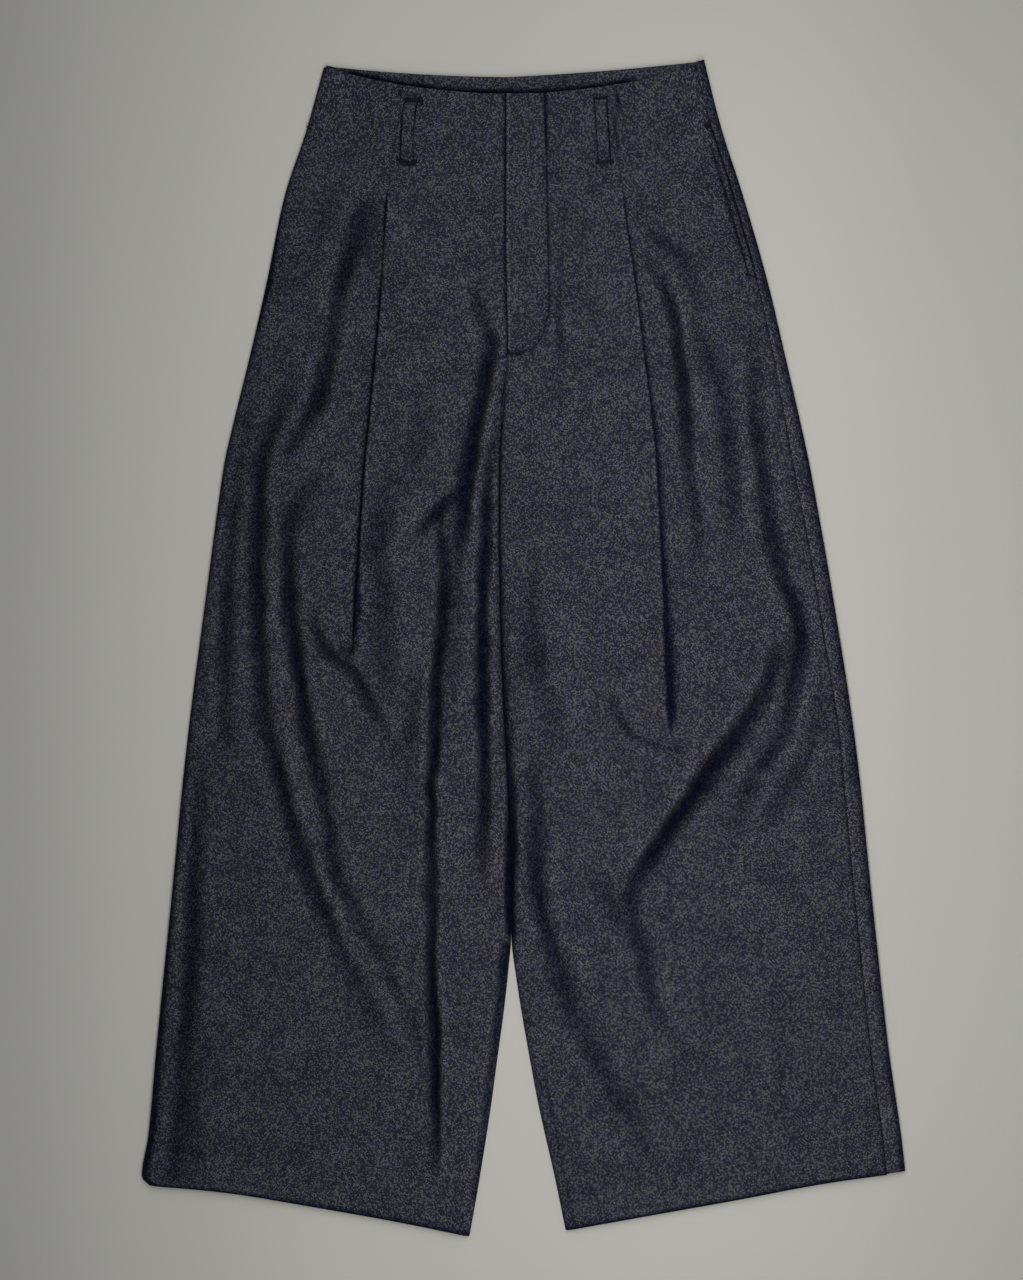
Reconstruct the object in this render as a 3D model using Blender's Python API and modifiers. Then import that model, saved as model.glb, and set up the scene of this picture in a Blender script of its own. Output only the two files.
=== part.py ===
"""Pleated wide-leg trousers, laid flat with the front side up.

Units are metres and +Z is up. +Y runs towards the waist and +X towards the
wearer's left, which is on the right seen from above. The origin is on the
floor, below the middle of the outline. The tables are in millimetres, in the
same frame, and the wearer's right and left name the pieces.
"""
import math
from collections import namedtuple

import bpy
from mathutils import Vector

MM = 0.001

# The cloth and the way it lies, in millimetres
WALL = 1.2
SEAM_GAP = 0.3
HALF_WALL = WALL / 2

# Heights of a front's middle above the floor: the least one, how softly a
# fold levels out there, and the height at the edges, which rises inwards
LOWEST_FRONT = 2.6
LEVELLING = 0.5
EDGE_HEIGHT = 4.6
EDGE_RUN = 75.0

# The rolled edges: their reach across, and the foot just above the floor
EDGE_ROLL = 8.0
EDGE_ROLL_ANGLES = (0, 28, 54, 76)
EDGE_CLEARANCE = 0.3
TURN_UNDER = 2.2
TURN_UNDER_ANGLE = 48
BACK_DRAWN_IN = 0.9

# Lengths down the garment, from the front waist edge at the centre
FLY_LENGTH = 242.0
CROTCH_BACK = (225.0, 262.0)
CROTCH_FRONT = (285.0, 365.0)
LEGS_PART = (250.0, 290.0)
GARMENT_LENGTH = 1050.0
ROWS = 36
ROW_STEP = GARMENT_LENGTH / (ROWS - 1)

# The number of steps across: each side of a front's pleat, and a back
SIDE_STEPS = 10
BACK_STEPS = 7

# The fly: the left front laps over the right one
FLY_LAP = 12.0
FLY_LAP_FULL = 15.0
FLY_LAP_FADE = 32.0
FLY_LIFT = 1.7

# The side seam of the left leg lies on the top, inside the outline
SIDE_SEAM_INSET = 11.5

# Half the gap between the legs, and where it opens
LEG_GAP_AT_CROTCH = 0.7
LEG_GAP_AT_FORK = 3.2
LEG_GAP_OPENS = (480.0, 780.0)

# The pleats: the centre panel lies on top, its folded edge towards the side.
# The cover is how far that panel lies high, and below its end the fold opens
# and its step dies out, each within some rows.
PLEAT_LAYER = 1.75
PLEAT_TURN = 0.85
PLEAT_CORNER = 0.2
PLEAT_FOOT = 2.0
PLEAT_COVER = 30.5
PLEAT_SLOPE = 46.0
PLEAT_OPEN_RUN = 12.0
PLEAT_OPENS_ROWS = 1.5
PLEAT_FADES_ROWS = 5

# The back waist is carried by its belt loops, and the facing lies in it
LOOP_WALL = 1.0
WAIST_RAISE = LOOP_WALL + SEAM_GAP
WAIST_RAISE_RUN = (62.0, 100.0)
EDGE_RAISE_SHARE = 0.7
LOWEST_RAISE_SHARE = 1.6
FACING_WALL = 1.0
FACING_DEPTH = 30.0
FACING_INSET = 0.8
FACING_STEPS = 8
FACING_FROM_ROLL = 9.0
FACING_FROM_SIDE_SEAM = 13.5
LOOP_WIDTH = 13.5
LOOP_LENGTH = 62.0
LOOP_LIFT = 0.45

# The pocket facings lie under the open side seams
POCKET_FROM = 33.0
POCKET_TO = 178.0
POCKET_FACING_WIDTH = 42.0
POCKET_FACING_INSET = 4.5
POCKET_FACING_WALL = 1.0

# Each row is one line across a leg: its ends, the pleat line and the height
# of the cloth's middle above the floor. The pleat line ends in the crease.
Row = namedtuple("Row", "down inner_x inner_y pleat_x pleat_y outer_x outer_y crown")

RIGHT_LEG = (
    Row(0, -14.3, 510.8, -111, 517.3, -184.5, 534.8, 5.6),
    Row(35, -14.3, 475.9, -116.4, 479.6, -200.5, 475.9, 5.6),
    Row(95, -14.3, 416.1, -125.6, 417.9, -218.5, 417.0, 6.2),
    Row(177, -13.3, 334.2, -132.9, 335.1, -236, 337.0, 7.6),
    Row(240, -12.4, 270.7, -138.5, 272.6, -251.2, 272.6, 8.8),
    Row(310, -17.5, 200.8, -144.9, 206.3, -268.2, 202.6, 10.6),
    Row(349, -19.8, 162.2, -147.7, 165.8, -276.5, 165.8, 11.6),
    Row(466, -20.7, 44.4, -153.2, 49.9, -292.1, 51.8, 12.4),
    Row(618, -16.1, -107.4, -158.7, -93.6, -310.5, -86.3, 12.4),
    Row(779, -13.5, -268.4, -165.1, -248.2, -326.1, -236.2, 11.4),
    Row(912, -27.1, -401.8, -173.4, -380.6, -339.0, -365.0, 8.8),
    Row(1000, -39.6, -489.2, -180.8, -465.3, -349.0, -447.8, 6.0),
    Row(1050, -49.2, -539.8, -184.5, -515.9, -351.5, -492.9, 4.5),
)

LEFT_LEG = (
    Row(0, -14.3, 510.8, 84.2, 517.3, 167.9, 539.8, 5.6),
    Row(35, -14.3, 475.9, 89.7, 478.6, 182.6, 478.6, 5.6),
    Row(95, -14.3, 416.1, 96.1, 418.8, 201.9, 418.8, 6.2),
    Row(177, -13.3, 334.2, 107.6, 335.1, 225.4, 337.0, 7.6),
    Row(240, -12.4, 270.7, 113.6, 272.6, 240.6, 272.6, 8.8),
    Row(310, -17.5, 200.8, 120.1, 202.6, 256.7, 202.6, 10.6),
    Row(349, -19.8, 162.2, 123.7, 164.0, 264.5, 165.8, 11.6),
    Row(466, -20.7, 44.4, 130.2, 48.1, 284.7, 51.8, 12.4),
    Row(618, -16.1, -107.4, 139.4, -95.5, 308.7, -86.3, 12.4),
    Row(779, -9.5, -268.4, 149.5, -250.0, 322.9, -236.2, 11.4),
    Row(912, 12.4, -401.8, 163.3, -381.6, 337.2, -365.0, 8.8),
    Row(1000, 29.9, -489.2, 174.3, -463.5, 347.3, -441.4, 6.0),
    Row(1050, 39.1, -534.3, 179.9, -510.8, 351.9, -480.9, 4.5),
)

# The back waist stands above the front one and shows its inside
RIGHT_BACK_WAIST = Row(-16, -14.3, 526.4, -100, 529.0, -184.5, 536.0, 0)
LEFT_BACK_WAIST = Row(-16, -14.3, 526.4, 70, 530.5, 167.9, 539.8, 0)

# Each pleat is sewn down to release, then hangs open to its end
Pleat = namedtuple("Pleat", "depth_waist depth_middle middle end")

RIGHT_PLEAT = Pleat(28.0, 24.0, 260.0, 480.0)
LEFT_PLEAT = Pleat(28.0, 25.0, 300.0, 540.0)

# The largest folds: half width, depth and the points that each runs through
Fold = namedtuple("Fold", "name width depth points")

FOLDS = (
    Fold("right_hip", 12, 2.4, ((-149, 402), (-163, 340), (-181, 250), (-203, 195))),
    Fold("right_thigh_outer", 13, 6.4, ((-214, 236), (-238, 188), (-244, 118), (-243, 40),
                                        (-234, -48), (-219, -121), (-192, -217), (-126, -354))),
    Fold("right_thigh_inner", 12, 6.0, ((-188, 155), (-212, 111), (-214, 50), (-203, -29),
                                        (-184, -121), (-161, -217), (-126, -297), (-102, -360))),
    Fold("right_side_soft", 14, 2.4, ((-251, 221), (-267, 100), (-275, -3), (-269, -92))),
    Fold("right_hem_side", 11, 3.4, ((-293, -106), (-304, -224), (-307, -322), (-321, -457))),
    Fold("right_pleat_drag", 12, 2.6, ((-192, 26), (-155, -26), (-126, -84))),
    Fold("crotch_deep", 11, 5.6, ((-46, 337), (-30, 273), (-43, 203), (-54, 129), (-61, 63))),
    Fold("right_inner_long", 12, 5.8, ((-72, 111), (-75, 26), (-81, -66), (-85, -176),
                                       (-84, -289), (-77, -403), (-81, -487))),
    Fold("right_inner_edge", 9, 4.4, ((-26, 177), (-36, 100), (-37, -11), (-35, -121), (-37, -206))),
    Fold("left_pleat_shadow", 12, 3.2, ((130, 331), (149, 245), (157, 153), (162, 61))),
    Fold("left_hip_soft", 12, 2.0, ((179, 245), (191, 169), (195, 130))),
    Fold("left_side", 12, 5.0, ((214, 250), (223, 161), (237, 69), (256, 23), (256, -8),
                                (237, -81), (207, -138), (202, -184))),
    Fold("left_knee_diagonal", 13, 7.0, ((238, 10), (225, -35), (187, -92), (149, -146),
                                         (115, -192), (72, -226))),
    Fold("left_shin", 12, 4.0, ((92, -208), (105, -268), (123, -335))),
    Fold("left_pleat_end", 12, 3.0, ((87, -58), (115, -90), (156, -88))),
    Fold("left_inner", 12, 4.2, ((17, -150), (14, -207), (27, -280), (54, -343), (92, -424))),
)

# Every fold fades towards its ends, has a low ridge on each side, and is
# weaker near the waist and the hem
FOLD_FADE = 55.0
FOLD_END = 0.2
FOLD_REACH = 4.0
RIDGE_SHARE = 0.28
RIDGE_OFFSET = 2.0
WAIST_CALM = (20.0, 110.0)
HEM_CALM = 90.0

# Belt loops on the fronts stand beside the pleats; those on the back have
# the x of their middle and the y of their top
FRONT_LOOP_BESIDE_PLEAT = 2.5
FRONT_LOOP_FROM = 9.0
BACK_LOOPS = (
    ("loop_back_right", -112.0, 523.0),
    ("loop_back_centre", -14.3, 522.0),
    ("loop_back_left", 83.0, 525.0),
)

CLOTH_COLOUR = (0.028, 0.028, 0.037, 1.0)
CLOTH_ROUGHNESS = 0.9


def ease(t):
    """A smooth step from 0 to 1."""
    t = min(max(t, 0.0), 1.0)
    return t * t * (3 - 2 * t)


def arch(t):
    """A rise from 0 to 1 that is steep at its start and level at its end."""
    t = min(max(t, 0.0), 1.0)
    return 1 - (1 - t) ** 2


def mix(a, b, t):
    """The value that is the share t of the way from a to b."""
    return a + (b - a) * t


def ease_between(value, span):
    """A smooth step from 0 at the span's start to 1 at its end."""
    start, end = span
    return ease((value - start) / (end - start))


def slope(keys, values, i):
    """The slope of a table's curve at its row i."""
    before = max(i - 1, 0)
    after = min(i + 1, len(keys) - 1)
    return (values[after] - values[before]) / (keys[after] - keys[before])


def smooth_value(keys, values, key):
    """The value at key on a smooth curve through a table's rows."""
    i = 0
    while i < len(keys) - 2 and key > keys[i + 1]:
        i += 1
    span = keys[i + 1] - keys[i]
    t = (key - keys[i]) / span
    start = slope(keys, values, i) * span
    end = slope(keys, values, i + 1) * span
    rise = values[i + 1] - values[i]
    return values[i] + t * (start + t * (3 * rise - 2 * start - end + t * (start + end - 2 * rise)))


class Line:
    """One line across a leg, from its inner edge to its outer edge."""

    def __init__(self, rows, down):
        keys = [row.down for row in rows]
        row = Row(*(smooth_value(keys, column, down) for column in zip(*rows)))
        self.down = down
        self.crown = row.crown
        self.inner = Vector((row.inner_x, row.inner_y))
        self.pleat = Vector((row.pleat_x, row.pleat_y))
        self.outer = Vector((row.outer_x, row.outer_y))
        self.to_pleat = (self.pleat - self.inner).length
        self.width = self.to_pleat + (self.outer - self.pleat).length

    def at(self, across):
        """The point on the floor plan, on a parabola through the three."""
        t = across / self.width
        middle = self.to_pleat / self.width
        by_inner = (t - middle) * (t - 1) / middle
        by_pleat = t * (t - 1) / (middle * (middle - 1))
        by_outer = t * (t - middle) / (1 - middle)
        return self.inner * by_inner + self.pleat * by_pleat + self.outer * by_outer


def smooth_path(points, steps=4):
    """A fold's points with points of a smooth curve put between them."""
    keys = list(range(len(points)))
    xs = [point[0] for point in points]
    ys = [point[1] for point in points]
    count = (len(points) - 1) * steps
    path = []
    for i in range(count + 1):
        key = i / steps
        path.append(Vector((smooth_value(keys, xs, key), smooth_value(keys, ys, key))))
    return path


def nearest_on_path(path, point):
    """The distance to a path, and the length along it to its nearer end."""
    best = None
    passed = 0.0
    for start, end in zip(path, path[1:]):
        run = end - start
        t = (point - start).dot(run) / run.length_squared
        t = min(max(t, 0.0), 1.0)
        distance = (start + run * t - point).length
        if best is None or distance < best[0]:
            best = (distance, passed + run.length * t)
        passed += run.length
    distance, along = best
    return distance, min(along, passed - along)


FOLD_PATHS = [smooth_path(fold.points) for fold in FOLDS]


def folds_at(point):
    """The sum of all folds at a point: troughs with a low ridge each side."""
    total = 0.0
    for fold, path in zip(FOLDS, FOLD_PATHS):
        distance, to_end = nearest_on_path(path, point)
        if distance > FOLD_REACH * fold.width:
            continue
        q = distance / fold.width
        trough = math.exp(-q * q) - RIDGE_SHARE * math.exp(-(q - RIDGE_OFFSET) ** 2)
        total -= fold.depth * trough * ease(FOLD_END + to_end / FOLD_FADE)
    return total


def waist_raise(down):
    """How far the back is lifted, near the waist, by its belt loops."""
    return WAIST_RAISE * (1 - ease_between(down, WAIST_RAISE_RUN))


def height(line, across):
    """The height of the front's mid-surface above the floor."""
    inner_fall = ease_between(line.down, CROTCH_FRONT)
    from_inner = mix(1.0, arch(across / EDGE_RUN), inner_fall)
    from_outer = arch((line.width - across) / EDGE_RUN)
    edge = EDGE_HEIGHT + waist_raise(line.down) * EDGE_RAISE_SHARE
    crown = max(line.crown, edge)
    z = mix(edge, crown, from_inner * from_outer)
    calm = ease_between(line.down, WAIST_CALM) * ease((GARMENT_LENGTH - line.down) / HEM_CALM)
    z += folds_at(line.at(across)) * calm
    lowest = LOWEST_FRONT + waist_raise(line.down) * LOWEST_RAISE_SHARE
    return lowest + LEVELLING * math.log1p(math.exp((z - lowest) / LEVELLING))


def cloth_point(line, across, z):
    """A point in metres, from a place on a line and a height in millimetres."""
    x, y = line.at(across)
    return Vector((x * MM, y * MM, z * MM))


def pleat_depth(pleat, down):
    """How deep the pleat's intake is at a line."""
    keys = (0.0, pleat.middle, pleat.end)
    values = (pleat.depth_waist, pleat.depth_middle, 0.0)
    return max(smooth_value(keys, values, min(down, pleat.end)), 0.0)


def pleat_points(pleat, line):
    """The offsets across and the lifts of the pleat's S-shaped fold."""
    below = (line.down - pleat.end) / ROW_STEP
    folded = 1 - ease(below / PLEAT_OPENS_ROWS)
    lift = 2 * PLEAT_LAYER * (1 - ease((below - 1) / PLEAT_FADES_ROWS))
    depth = pleat_depth(pleat, line.down)
    corner = -depth - PLEAT_CORNER
    middle = (PLEAT_FOOT - depth) / 2
    closed = (0.0, PLEAT_TURN, PLEAT_CORNER, corner, -depth - PLEAT_TURN, -depth, middle, PLEAT_FOOT)
    lifts = (1.0, 0.75, 0.5, 0.5, 0.25, 0.0, 0.0, 0.0)
    last = len(closed) - 1
    points = []
    for i, (offset, share) in enumerate(zip(closed, lifts)):
        opened = PLEAT_OPEN_RUN * i / last
        level = mix(1 - ease(i / last), share, folded)
        points.append((mix(opened, offset, folded), lift * level))
    return points, lift


def inner_gap(down):
    """Half the gap between the legs: shut at the crotch, open at the fork."""
    return mix(LEG_GAP_AT_CROTCH, LEG_GAP_AT_FORK, ease_between(down, LEG_GAP_OPENS))


def inner_edge(line, lap):
    """The points of a front's inner edge: lapped, butted or rolled under."""
    rolled = ease_between(line.down, CROTCH_FRONT)
    start = mix(-lap, HALF_WALL + inner_gap(line.down), ease_between(line.down, LEGS_PART))
    points = []
    for angle in map(math.radians, EDGE_ROLL_ANGLES):
        across = start + EDGE_ROLL * (1 - math.cos(angle))
        top = height(line, across)
        low = EDGE_CLEARANCE + (top - EDGE_CLEARANCE) * math.sin(angle)
        points.append((across, mix(top, low, rolled)))
    return points, start + EDGE_ROLL


def outer_edge(line):
    """The points of the right front's outer edge, rolled down to the floor."""
    end = line.width - HALF_WALL
    points = []
    for angle in map(math.radians, reversed(EDGE_ROLL_ANGLES)):
        across = end - EDGE_ROLL * (1 - math.cos(angle))
        top = height(line, across)
        points.append((across, EDGE_CLEARANCE + (top - EDGE_CLEARANCE) * math.sin(angle)))
    return points, end - EDGE_ROLL


def front_row(line, pleat, is_left):
    """One row of a front's mid-surface, from the inner edge to the side."""
    lap = -SEAM_GAP / 2
    if not is_left and line.down < FLY_LENGTH:
        lap = FLY_LAP
    fly_lift = 0.0
    if is_left and line.down < FLY_LENGTH + ROW_STEP:
        fly_lift = FLY_LIFT
    fold, pleat_lift = pleat_points(pleat, line)

    def top_lift(across):
        by_fly = fly_lift * (1 - ease((across - FLY_LAP_FULL) / FLY_LAP_FADE))
        by_pleat = ease((across - line.to_pleat + PLEAT_COVER + PLEAT_SLOPE) / PLEAT_SLOPE)
        return max(by_fly, pleat_lift * by_pleat)

    edge, start = inner_edge(line, lap)
    section = [(across, z + top_lift(across)) for across, z in edge]
    for i in range(SIDE_STEPS):
        across = mix(start, line.to_pleat, i / SIDE_STEPS)
        section.append((across, height(line, across) + top_lift(across)))
    for offset, lift in fold:
        across = line.to_pleat + offset
        section.append((across, height(line, across) + lift))
    if is_left:
        last_edge = []
        end = line.width - SIDE_SEAM_INSET - SEAM_GAP
    else:
        last_edge, end = outer_edge(line)
    first = section[-1][0]
    for i in range(1, SIDE_STEPS + 1):
        across = mix(first, end, i / SIDE_STEPS)
        section.append((across, height(line, across)))
    section.extend(last_edge)
    return [cloth_point(line, across, z) for across, z in section]


def back_inner_start(line):
    """Where a back starts: at the centre seam, or inside the rolled edge."""
    rolled_in = WALL + SEAM_GAP + BACK_DRAWN_IN + inner_gap(line.down)
    return mix(SEAM_GAP / 2, rolled_in, ease_between(line.down, CROTCH_BACK))


def back_row(line, is_left):
    """One row of a back: flat on the floor, and round the left side seam."""
    start = back_inner_start(line)
    floor_z = HALF_WALL + waist_raise(line.down)
    edge = line.width - HALF_WALL
    end = line.width - WALL - SEAM_GAP - BACK_DRAWN_IN
    if is_left:
        end = edge - TURN_UNDER
    section = [(mix(start, end, i / BACK_STEPS), floor_z) for i in range(BACK_STEPS + 1)]
    if is_left:
        side_z = (floor_z + height(line, edge - EDGE_ROLL)) / 2
        angle = math.radians(TURN_UNDER_ANGLE)
        across = edge - TURN_UNDER * (1 - math.cos(angle))
        section.append((across, side_z - (side_z - floor_z) * math.sin(angle)))
        for angle in map(math.radians, EDGE_ROLL_ANGLES):
            across = edge - EDGE_ROLL * (1 - math.cos(angle))
            top = height(line, across)
            section.append((across, side_z + (top - side_z) * math.sin(angle)))
        across = line.width - SIDE_SEAM_INSET
        section.append((across, height(line, across)))
    return [cloth_point(line, across, z) for across, z in section]


def material(name):
    """A cloth material of its own for each piece."""
    cloth = bpy.data.materials.new(name)
    cloth.use_nodes = True
    shader = cloth.node_tree.nodes["Principled BSDF"]
    shader.inputs["Base Color"].default_value = CLOTH_COLOUR
    shader.inputs["Roughness"].default_value = CLOTH_ROUGHNESS
    shader.inputs["Metallic"].default_value = 0.0
    cloth.diffuse_color = CLOTH_COLOUR
    return cloth


def add_sheet(name, rows, wall, collection):
    """A piece of cloth: rows of its mid-surface, made a wall by Solidify."""
    points = [tuple(point) for row in rows for point in row]
    across = len(rows[0])
    faces = []
    for i in range(len(rows) - 1):
        for j in range(across - 1):
            first = i * across + j
            faces.append((first, first + across, first + across + 1, first + 1))
    mesh = bpy.data.meshes.new(name)
    mesh.from_pydata(points, [], faces)
    mesh.update()
    if sum((face.normal.z * face.area for face in mesh.polygons)) < 0:
        mesh.flip_normals()
    mesh.materials.append(material(name))
    piece = bpy.data.objects.new(name, mesh)
    collection.objects.link(piece)
    solid = piece.modifiers.new("wall", "SOLIDIFY")
    solid.thickness = wall * MM
    solid.offset = 0.0
    solid.use_even_offset = True
    solid.use_rim = True
    return piece


def leg_lines(rows):
    """The lines across a leg, evenly spaced from the waist to the hem."""
    return [Line(rows, i * ROW_STEP) for i in range(ROWS)]


def add_front(name, rows, pleat, is_left, collection):
    lines = leg_lines(rows)
    add_sheet(name, [front_row(line, pleat, is_left) for line in lines], WALL, collection)


def add_back(name, rows, waist, is_left, collection):
    """A back has the front's lines, and a waist line above the front's."""
    lines = leg_lines(rows)
    top = Line((waist,) + rows, waist.down)
    add_sheet(name, [back_row(line, is_left) for line in [top] + lines], WALL, collection)


def add_waist_facing(collection):
    """The facing inside the back waist, seen above the front's edge."""
    z = (WALL + WAIST_RAISE + SEAM_GAP + FACING_WALL / 2) * MM
    right = Line((RIGHT_BACK_WAIST,) + RIGHT_LEG, RIGHT_BACK_WAIST.down)
    left = Line((LEFT_BACK_WAIST,) + LEFT_LEG, LEFT_BACK_WAIST.down)
    columns = []
    for i in range(FACING_STEPS, 0, -1):
        columns.append(right.at((right.width - FACING_FROM_ROLL) * i / FACING_STEPS))
    for i in range(FACING_STEPS + 1):
        columns.append(left.at((left.width - FACING_FROM_SIDE_SEAM) * i / FACING_STEPS))
    rows = []
    for depth in (0.0, FACING_DEPTH / 2, FACING_DEPTH):
        rows.append([Vector((x * MM, (y - FACING_INSET - depth) * MM, z)) for x, y in columns])
    add_sheet("waist_facing_back", rows, FACING_WALL, collection)


def add_front_loop(name, leg, pleat, collection):
    """A belt loop that lies on a front, made from the front's own points."""
    rows = []
    for i in range(5):
        down = FRONT_LOOP_FROM + LOOP_LENGTH * i / 4
        line = Line(leg, down)
        lift = pleat_points(pleat, line)[1] + WALL / 2 + LOOP_LIFT + LOOP_WALL / 2
        inner = line.to_pleat - FRONT_LOOP_BESIDE_PLEAT - LOOP_WIDTH
        row = []
        for j in range(4):
            across = inner + LOOP_WIDTH * j / 3
            row.append(cloth_point(line, across, height(line, across) + lift))
        rows.append(row)
    add_sheet(name, rows, LOOP_WALL, collection)


def add_back_loop(name, x, top, collection):
    """A belt loop on the back, flat between the back waist and the floor."""
    bpy.ops.mesh.primitive_cube_add(size=1.0)
    piece = bpy.context.active_object
    piece.name = name
    piece.data.name = name
    piece.scale = (LOOP_WIDTH * MM, LOOP_LENGTH * MM, LOOP_WALL * MM)
    piece.location = (x * MM, (top - LOOP_LENGTH / 2) * MM, LOOP_WALL / 2 * MM)
    bpy.ops.object.transform_apply(location=False, rotation=False, scale=True)
    piece.data.materials.append(material(name))
    for owner in piece.users_collection:
        owner.objects.unlink(piece)
    collection.objects.link(piece)


def add_pocket_facing(name, leg, collection):
    """The strip of cloth that lies on the back, under the pocket's opening."""
    rows = []
    for i in range(6):
        line = Line(leg, mix(POCKET_FROM, POCKET_TO, i / 5))
        z = waist_raise(line.down) + WALL + SEAM_GAP + POCKET_FACING_WALL / 2
        outer = line.width - POCKET_FACING_INSET
        inner = outer - POCKET_FACING_WIDTH
        rows.append([cloth_point(line, mix(inner, outer, j / 3), z) for j in range(4)])
    add_sheet(name, rows, POCKET_FACING_WALL, collection)


for old in list(bpy.data.objects):
    bpy.data.objects.remove(old, do_unlink=True)

trousers = bpy.data.collections.new("pleated_wide_leg_trousers")
bpy.context.scene.collection.children.link(trousers)

add_front("front_right", RIGHT_LEG, RIGHT_PLEAT, False, trousers)
add_front("front_left", LEFT_LEG, LEFT_PLEAT, True, trousers)
add_back("back_right", RIGHT_LEG, RIGHT_BACK_WAIST, False, trousers)
add_back("back_left", LEFT_LEG, LEFT_BACK_WAIST, True, trousers)
add_waist_facing(trousers)
add_front_loop("loop_front_right", RIGHT_LEG, RIGHT_PLEAT, trousers)
add_front_loop("loop_front_left", LEFT_LEG, LEFT_PLEAT, trousers)
for loop_name, loop_x, loop_top in BACK_LOOPS:
    add_back_loop(loop_name, loop_x, loop_top, trousers)
add_pocket_facing("pocket_facing_right", RIGHT_LEG, trousers)
add_pocket_facing("pocket_facing_left", LEFT_LEG, trousers)
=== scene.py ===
"""Pleated wide-leg trousers in a navy and grey melange twill, laid flat.

The script builds the studio, then the trousers in the order in which they are
sewn. Tables are in millimetres, meshes in metres. +X is the wearer's left.
"""

import math
from collections import namedtuple

import bpy
import numpy as np
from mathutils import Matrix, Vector


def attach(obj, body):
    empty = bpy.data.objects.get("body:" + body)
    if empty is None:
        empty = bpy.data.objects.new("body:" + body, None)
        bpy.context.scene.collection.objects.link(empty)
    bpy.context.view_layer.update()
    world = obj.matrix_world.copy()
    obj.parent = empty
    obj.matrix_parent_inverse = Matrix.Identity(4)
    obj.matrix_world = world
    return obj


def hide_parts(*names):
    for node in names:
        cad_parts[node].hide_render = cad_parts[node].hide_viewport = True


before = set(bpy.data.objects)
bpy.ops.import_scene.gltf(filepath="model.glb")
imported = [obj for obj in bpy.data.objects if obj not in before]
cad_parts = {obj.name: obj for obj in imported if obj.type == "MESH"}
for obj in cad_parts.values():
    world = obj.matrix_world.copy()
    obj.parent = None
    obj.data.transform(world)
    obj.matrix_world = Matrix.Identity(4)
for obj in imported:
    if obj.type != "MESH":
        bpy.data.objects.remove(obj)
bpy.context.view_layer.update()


# Table top and light
# A painted board seen from straight above, under a long low strip of soft light
# and an even fill, with light painted on it left of the trousers and at the far right.

class Strand:
    """A value that varies over a surface. Arithmetic on it adds Math nodes."""

    def __init__(self, nodes, socket):
        self.nodes = nodes
        self.socket = socket

    def math(self, operation, first, second):
        """A Math node's output."""
        return self.nodes.add("ShaderNodeMath", {"operation": operation}, {0: first, 1: second})

    def __add__(self, other):
        return self.math("ADD", self, other)

    def __sub__(self, other):
        return self.math("SUBTRACT", self, other)

    def __rsub__(self, other):
        return self.math("SUBTRACT", other, self)

    def __mul__(self, other):
        return self.math("MULTIPLY", self, other)

    __radd__ = __add__
    __rmul__ = __mul__


class Finish:
    """A material's nodes: each call adds one node and gives its output."""

    def __init__(self, name):
        self.material = bpy.data.materials.new(name)
        self.material.use_nodes = True
        self.tree = self.material.node_tree
        self.shader = self.tree.nodes["Principled BSDF"]

    def add(self, kind, settings, values, output=0):
        """One output of a new node of a kind, with its settings and input values."""
        node = self.tree.nodes.new(kind)
        for name, setting in settings.items():
            setattr(node, name, setting)
        for place, value in values.items():
            self.feed(node.inputs[place], value)
        return Strand(self, node.outputs[output])

    def feed(self, socket, value):
        """Links a strand to a socket, or sets its constant."""
        if isinstance(value, Strand):
            self.tree.links.new(value.socket, socket)
        else:
            socket.default_value = value

    def blend(self, share, first, second):
        """The colour that is the given share of the way to the second."""
        return self.add("ShaderNodeMix", {"data_type": "RGBA"}, {0: share, 6: first, 7: second}, 2)

    def noise(self, place, size, detail=2.0, roughness=0.5):
        """Soft random patches of a size in metres."""
        values = {"Vector": place, "Scale": 1 / size, "Detail": detail, "Roughness": roughness}
        return self.add("ShaderNodeTexNoise", {}, values)

    def step(self, value, start, end):
        """A smooth step from 0 at the start to 1 at the end."""
        values = {"Value": value, "From Min": start, "From Max": end}
        return self.add("ShaderNodeMapRange", {"interpolation_type": "SMOOTHSTEP"}, values)

    def surface(self, **values):
        """Feeds the inputs of the Principled shader, by name."""
        for name, value in values.items():
            self.feed(self.shader.inputs[name.replace("_", " ")], value)


TABLE_SIZE = 30.0
TABLE_THICKNESS = 0.02

board = Finish("painted_board")
board_place = board.add("ShaderNodeTexCoord", {}, {}, "Object")
board_clouds = board.noise(board_place, size=0.16, detail=3.0)
board_grain = board.noise(board_place, size=0.0016)
board_colour = board.blend(board_clouds, (0.500, 0.498, 0.466, 1), (0.520, 0.518, 0.488, 1))
board_colour = board.blend(board_grain * 0.17, board_colour, (0.41, 0.41, 0.40, 1))
board_across = board.add("ShaderNodeSeparateXYZ", {}, {"Vector": board_place})
# Painted light: the board's colour is paler in a band left of the trousers and at the far right,
# standing in for the light that falls there
painted_light_left = board.step(board_across, -0.50, -0.36) - board.step(board_across, -0.22, 0.02)
painted_light_right = board.step(board_across, 0.36, 0.47)
board_painted_light = painted_light_left * 0.5 + painted_light_right * 0.2
board_colour = board.blend(board_painted_light, board_colour, (0.612, 0.610, 0.572, 1))
board.surface(Base_Color=board_colour, Roughness=0.8)

bpy.ops.object.select_all(action="DESELECT")
bpy.ops.mesh.primitive_plane_add(size=TABLE_SIZE)
table_top = bpy.context.active_object
table_top.name = "table_top"
table_top.data.materials.append(board.material)
bpy.ops.object.mode_set(mode="EDIT")
bpy.ops.mesh.extrude_region_move(TRANSFORM_OT_translate={"value": (0, 0, -TABLE_THICKNESS)})
bpy.ops.mesh.select_all(action="SELECT")
bpy.ops.mesh.normals_make_consistent(inside=False)
bpy.ops.object.mode_set(mode="OBJECT")


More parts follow.
